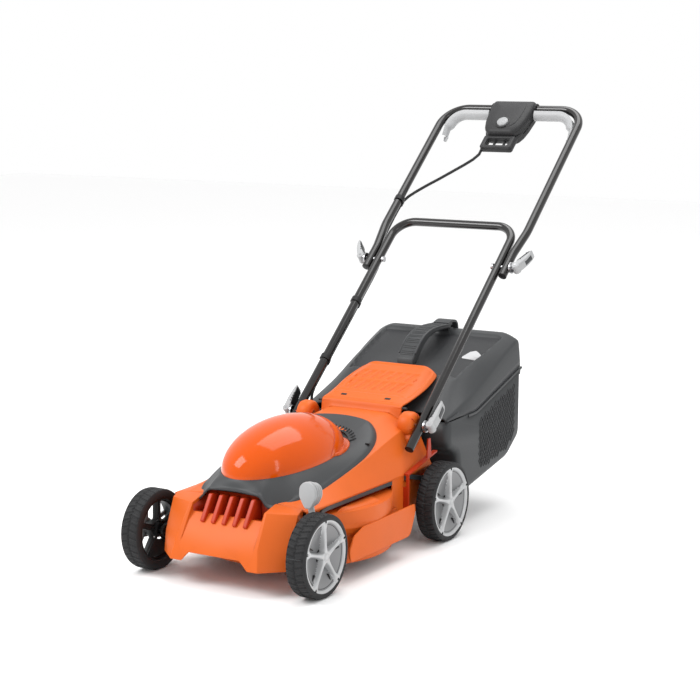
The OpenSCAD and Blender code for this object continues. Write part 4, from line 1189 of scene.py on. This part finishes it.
def make_handles():
    make_tube("lower_tube", [(-LOWER_X, LOWER_END, 0), (-LOWER_X, CROSSBAR, 0)], [0, 50], "lower_handle")
    make_tube("upper_tube", [(-LOW_X, UPPER_END, 0), (-LOW_X, JOINT + 40, 0), (-UPPER_X, JOINT + 112, 0),
                             (-UPPER_X, BAR, 0)], [0, 160, 160, TOP_BEND], "upper_handle")
    plug = [(0.01, -7), (8.3, -7), (8.3, 0.05), (9.5, 0.05), (9.5, 0.4), (8.8, 0.8), (0.01, 0.9)]
    for side, tag in SIDES:
        for name, x, along in (("lower", LOWER_X, LOWER_END), ("upper", LOW_X, UPPER_END)):
            turned(f"{name}_plug_{tag}", plug, 40, HANDLE @ moved(side * x, along, 0) @ rotated(90, "X"),
                   BLACK, name + "_handle", sharp=40)


# ---- Cam levers ----

CAM_X = 14.8


def make_clamps():
    """Cam levers on the pivots, each on a round seat; CAM_X is from the tube's side to its middle."""
    drum = [(3.1, -12), (7.6, -12), (8.9, -10.8), (8.9, -6.6), (8.2, -5.6), (8.2, 5.6), (8.9, 6.6),
            (8.9, 10.8), (7.6, 12), (3.1, 12)]
    seat = [(4.2, 0.4), (10.6, 0.4), (11.6, 1.0), (13.4, 4.4), (12.4, 5.2), (4.2, 5.2)]
    for tag, tube_x, along, tilt, reach in (("lower", LOWER_X, 0, 0, 62), ("upper", LOW_X, JOINT, 24, 50)):
        blade = fillet([(-6, 2), (6, -4), (8.6, 10), (9.5, 28), (7.5, reach - 6), (3.4, reach + 4),
                        (0.5, reach + 3), (-1.4, reach - 14), (-3.5, 24), (-6.6, 12)],
                       [3, 4, 6, 12, 8, 2, 2, 10, 12, 5])
        # Black strip along the blade's inner edge: painted shade on the ridged edge.
        edge_shade = fillet([(-7.2, 12), (-5.2, 12), (-3.6, 24), (-1.8, reach - 14), (-0.2, reach),
                        (-2.2, reach - 4), (-4.6, 30)], 1, 2)
        # Finger groove's dark slate strip: painted shade in the groove.
        groove_shade = fillet([(5.8, reach * 0.42), (8.6, reach * 0.44), (7.4, reach * 0.86), (4.8, reach * 0.9)],
                       1.4, 4)
        for side, hand in SIDES:
            node = f"{tag}_clamp_{hand}"
            body, slot = BODY_OF[node], SLOT_OF[node]
            edge = tube_x + TUBE_R
            turn = HANDLE @ moved(side * (edge + CAM_X), along, 0) @ mirror(side)
            lean = turn @ rotated(-tilt, "Z")
            plate(node + "_blade", [blade], -11.6, 11.6, 3.0, lean, PALE, body, node, sharp=45)
            turned(node + "_drum", drum, 40, turn, PALE, body, slot=slot, sharp=40)
            plate(node + "_liner", [edge_shade], -10.8, 10.8, 0.5, lean, BLACK, body, slot=slot)
            plate(node + "_inlay", [groove_shade], -6, 6, 0.5, lean @ moved(1.4, 0, 0), SLATE, body, slot=slot)
            # Grip nicks on the inner edge, in dark slate as painted shade between the ridges.
            for k in range(4):
                y = 18 + 7 * k
                nick_shade = fillet([(-3.4, y), (-0.6, y + 1), (-0.6, y + 4), (-3.2, y + 3)], 0.5, 2)
                plate(f"{node}_nick_{k + 1}", [nick_shade], -12.1, 12.1, 0.3, lean, SLATE, body, slot=slot)
            turned(node + "_seat", seat, 48, HANDLE @ outward(side, (side * edge * MM, along * MM, 0)),
                   BLACK, "lower_handle", sharp=40)


# ---- Switch box ----

BUTTON_Y = -72


def make_switch():
    """The box on the bar: base, crowned cover, cord-relief frame, collars and the round button."""
    bar = HANDLE @ moved(0, BAR, 0)
    flange = both([(-55, 14), (-59, 4), (-59, -28), (-55, -62), (-50, -84), (-43, -102), (-43, -146)])
    base = both([(-55, 14), (-59, 4), (-59, -28), (-55, -62), (-50, -84), (-40, -104)])
    crown = both([(-55, 13.5), (-58.6, 4), (-58.6, -28), (-54.5, -62), (-48, -86), (-34, -103)])
    window = rectangle(-30, -136, 30, -112, 3, 4)
    rounds = [8, 8, 40, 40, 26, 16, 16, 26, 40, 40, 8, 8]
    flange = fillet(flange, [8, 8, 40, 40, 30, 10, 7, 7, 10, 30, 40, 40, 8, 8])
    plate("switch_base_shell", [fillet(base, rounds)], -22, 0.4, 4.5, bar, SLATE_DARK, "upper_handle",
          "switch_base", sharp=45)
    plate("switch_flange", [flange, window], -10, 0.4, 2.5, bar, SLATE_DARK, "upper_handle", sharp=45)
    # The crowned cover: rings of the outline that rise and draw in towards the middle.
    outline = fillet(crown, rounds)
    middle = -44
    rings = ((1.0, 0.4), (1.0, 9), (0.985, 13), (0.95, 16.5), (0.88, 19.2), (0.78, 20.8), (0.7, 21.4),
             (0.69, 22.2), (0.66, 22.7), (0.4, 23.2), (0.12, 23.5))
    verts = [(x * scale, middle + (y - middle) * scale, z) for scale, z in rings for x, y in outline]
    n = len(outline)
    faces = grid_faces(len(rings), n, wrap_cols=True)
    faces += [tuple(range(len(verts) - n, len(verts))), tuple(range(n - 1, -1, -1))]
    dress(new_object("switch_cover_shell", verts, faces, bar), SLATE_DARK, "upper_handle",
          "switch_cover", sharp=38)
    # Upper half of the cord-relief frame, and the pegs in it.
    frame_top = fillet([(-42, -103), (42, -103), (42, -145), (-42, -145)], 6, 5)
    plate("cord_frame", [frame_top, window], 0.4, 7.8, 2.6, bar, SLATE_DARK, "upper_handle", sharp=45)
    for side, tag in SIDES[::-1]:
        peg = rectangle(side * 13 - 2.5, -128, side * 13 + 2.5, -112, 1)
        plate("cord_peg_" + tag, [peg], -8, -3, 0.8, bar, SLATE_DARK, "upper_handle")
    # Collars where the bar enters the box.
    collar = [(10.1, 56), (14.5, 56), (14.5, 60), (13.2, 61.5), (10.1, 61.5)]
    for side, tag in SIDES:
        turned("switch_collar_" + tag, collar, 48, bar @ outward(side), BLACK, "upper_handle")
    make_button(bar)


def make_button(bar):
    """Round button: crowned, with rings of small domes, in a well on the cover."""
    seat = bar @ moved(0, BUTTON_Y, 12)
    profile = [(0.01, 1), (16.5, 1), (16.5, 3.6), (13.9, 3.9), (13.9, 14.0), (13.2, 15.2), (11.8, 15.8),
               (0.01, 16.2)]
    turned("button_crown", profile, 64, seat, PALE, "button", "lock_button", sharp=40)
    verts, faces = [], []
    for ring, count in ((0, 1), (3.6, 6), (7.2, 12), (10.6, 18)):
        for k in range(count):
            a = 2 * math.pi * k / count
            cx, cy = ring * math.cos(a), ring * math.sin(a)
            first = len(verts)
            for r, h in ((1.25, 15.7), (1.0, 16.4), (0.5, 16.7)):
                verts += [(cx + x, cy + y, h) for x, y in circle(r, 8)]
            faces += grid_faces(3, 8, wrap_cols=True, first=first)
            faces += [tuple(range(first + 16, first + 24)), tuple(range(first + 7, first - 1, -1))]
    dress(new_object("button_studs", verts, faces, seat), PALE, "button")
    well = [(14.4, 20.6), (18.5, 20.6), (18.5, 23.2), (17.2, 24.2), (15.2, 24.2), (14.4, 23.4)]
    turned("button_well", well, 64, bar @ moved(0, BUTTON_Y, 0), SLATE_DARK, "upper_handle", sharp=40)


# ---- Bail bar ----

BAIL_TURN = 17


def half_pipe(line, side):
    """Rings of a half pipe that opens towards the handle bar and narrows to its end."""
    rings = []
    for i, p in enumerate(line):
        t = (line[min(i + 1, len(line) - 1)] - line[max(i - 1, 0)]).normalized()
        inward = Vector((t.y, -t.x, 0)) * side
        end = i / (len(line) - 1)
        reach = 13.8 - 3.0 * step(0.88, 1.0, end)
        skirt = 7 * (1 - step(0.8, 1.0, end))
        outer, inner = ([p + inward * ((r + skirt) * math.cos(a)) + UP * (r * math.sin(a))
                         for a in (math.radians(-90 + 180 * k / 16) for k in range(17))]
                        for r in (reach, reach - 2.2))
        rings.append(outer + inner[::-1])
    return rings


def make_bail():
    """Pressed half pipes that hug the inside of the bar's bends, on a spindle in the switch box."""
    pivot = HANDLE @ moved(0, BAR - BAIL_DROP, 0) @ rotated(BAIL_TURN, "X")
    slot = SLOT_OF["bail_bar"]
    bend = TOP_BEND - BAIL_DROP
    corner = UPPER_X - BAIL_DROP
    tip = fillet([(-6.5, -2), (6.5, -2), (4.5, -15), (-2.5, -17)], 3, 4)
    for side, tag in SIDES:
        rings = half_pipe(tube_path([(side * 61.5, 0, 0), (side * corner, 0, 0),
                                     (side * corner, -bend - 22, 0)], [0, bend, 0], 24), side)
        n = len(rings[0])
        verts = [v for r in rings for v in r]
        faces = grid_faces(len(rings), n, wrap_cols=True)
        faces += [tuple(range(n)), tuple(range(len(verts) - 1, len(verts) - n - 1, -1))]
        lever = soften(new_object("bail_lever_" + tag, verts, faces, pivot), 0.6, 2, 50)
        dress(lever, PALE, "bail", "bail_bar" if side > 0 else (), slot=slot, sharp=45)
        plate("bail_tip_" + tag, [tip], -1.6, 1.6, 0.7,
              pivot @ moved(side * (corner - 8), -bend - 20, 0) @ mirror(side), PALE, "bail", slot=slot)
    turned("bail_spindle", [(0.01, -61), (3.4, -61), (3.4, 61), (0.01, 61)], 24,
           pivot @ rotated(90, "Y"), STEEL, "bail", slot=slot)


# ---- Height lever ----

def make_height_lever():
    """Spoon-shaped lever: a flat oval face to the front and stacked finger ribs behind it, with a black core
    between the ribs as painted shade in the gaps.
    """
    x, body, slot = 167, "crank_front_right", "pale_plastic"
    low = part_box("height_lever")[0].z / MM
    face = fillet([(x - 6.5, 168), (x - 19.5, 190), (x - 19, 213), (x, 224.5), (x + 19, 213),
                   (x + 19.5, 190), (x + 7, 168)], [8, 24, 20, 32, 20, 24, 8], 7)
    plate("lever_face", [face], 12, 19, 2.6, DECK @ UPRIGHT, PALE, body, "height_lever", sharp=50)
    for k in range(3):
        s = 0.95 - 0.07 * k
        ring = [(x + (p[0] - x) * s, 199 + (p[1] - 199 - 1.5 * k) * s) for p in face]
        plate(f"lever_rib_{k + 1}", [ring], 21.5 + 9 * k, 26.5 + 9 * k, 1.6, DECK @ UPRIGHT, PALE, body,
              sharp=50)
    # The core between the ribs is black, painted shade in the gaps between them; it keeps the lever's pale plastic
    # slot.
    core = [(x + (p[0] - x) * 0.6, 197 + (p[1] - 198) * 0.62) for p in face]
    plate("lever_core", [core], 16, 44, 1.5, DECK @ UPRIGHT, BLACK, body, slot=slot)
    neck = spline([(x + 1.5, 30, low + 2), (x + 1.5, 30, 140), (x + 1, 26, 165), (x, 21, 184)], 8)
    strip("lever_stem", neck, block(6, 4.2, 2.5, 4), PALE, body, sharp=45, up=Vector((0, 1, 0)))


make_handles()
make_clamps()
make_switch()
make_bail()
make_height_lever()


# ---- CAD nodes that keep their shape ----

for mat, width, names in (
        (TRIM_RED, 0.7, "wheel_arches"), (BLACK, 1.2, "front_crank_right front_crank_left rear_axle"),
        (SLATE, 0.6, "link_rod_right link_rod_left"), (STEEL, 0.5, "pivot_bolts joint_bolts"),
        (ORANGE, 2.0, "lower_deck"), (COATED_STEEL, 0.4, "blade"), (BLACK, 1.0, "blade_carrier")):
    for node in names.split():
        rounded_node(node, mat, width)

for mat, names in (
        (SLATE, "discharge_chute"), (ALUMINIUM, "motor_can"), (COPPER, "motor_rotor"),
        (BLACK, "capacitor axle_bushes cable_gland micro_switch"), (SLATE_DARK, "flap_pin flap_springs"),
        (STEEL, "deck_screws motor_shaft blade_bolt"), (CABLE, "lower_cable upper_cable")):
    for node in names.split():
        NODES[node].data.materials.clear()
        NODES[node].data.materials.append(mat)
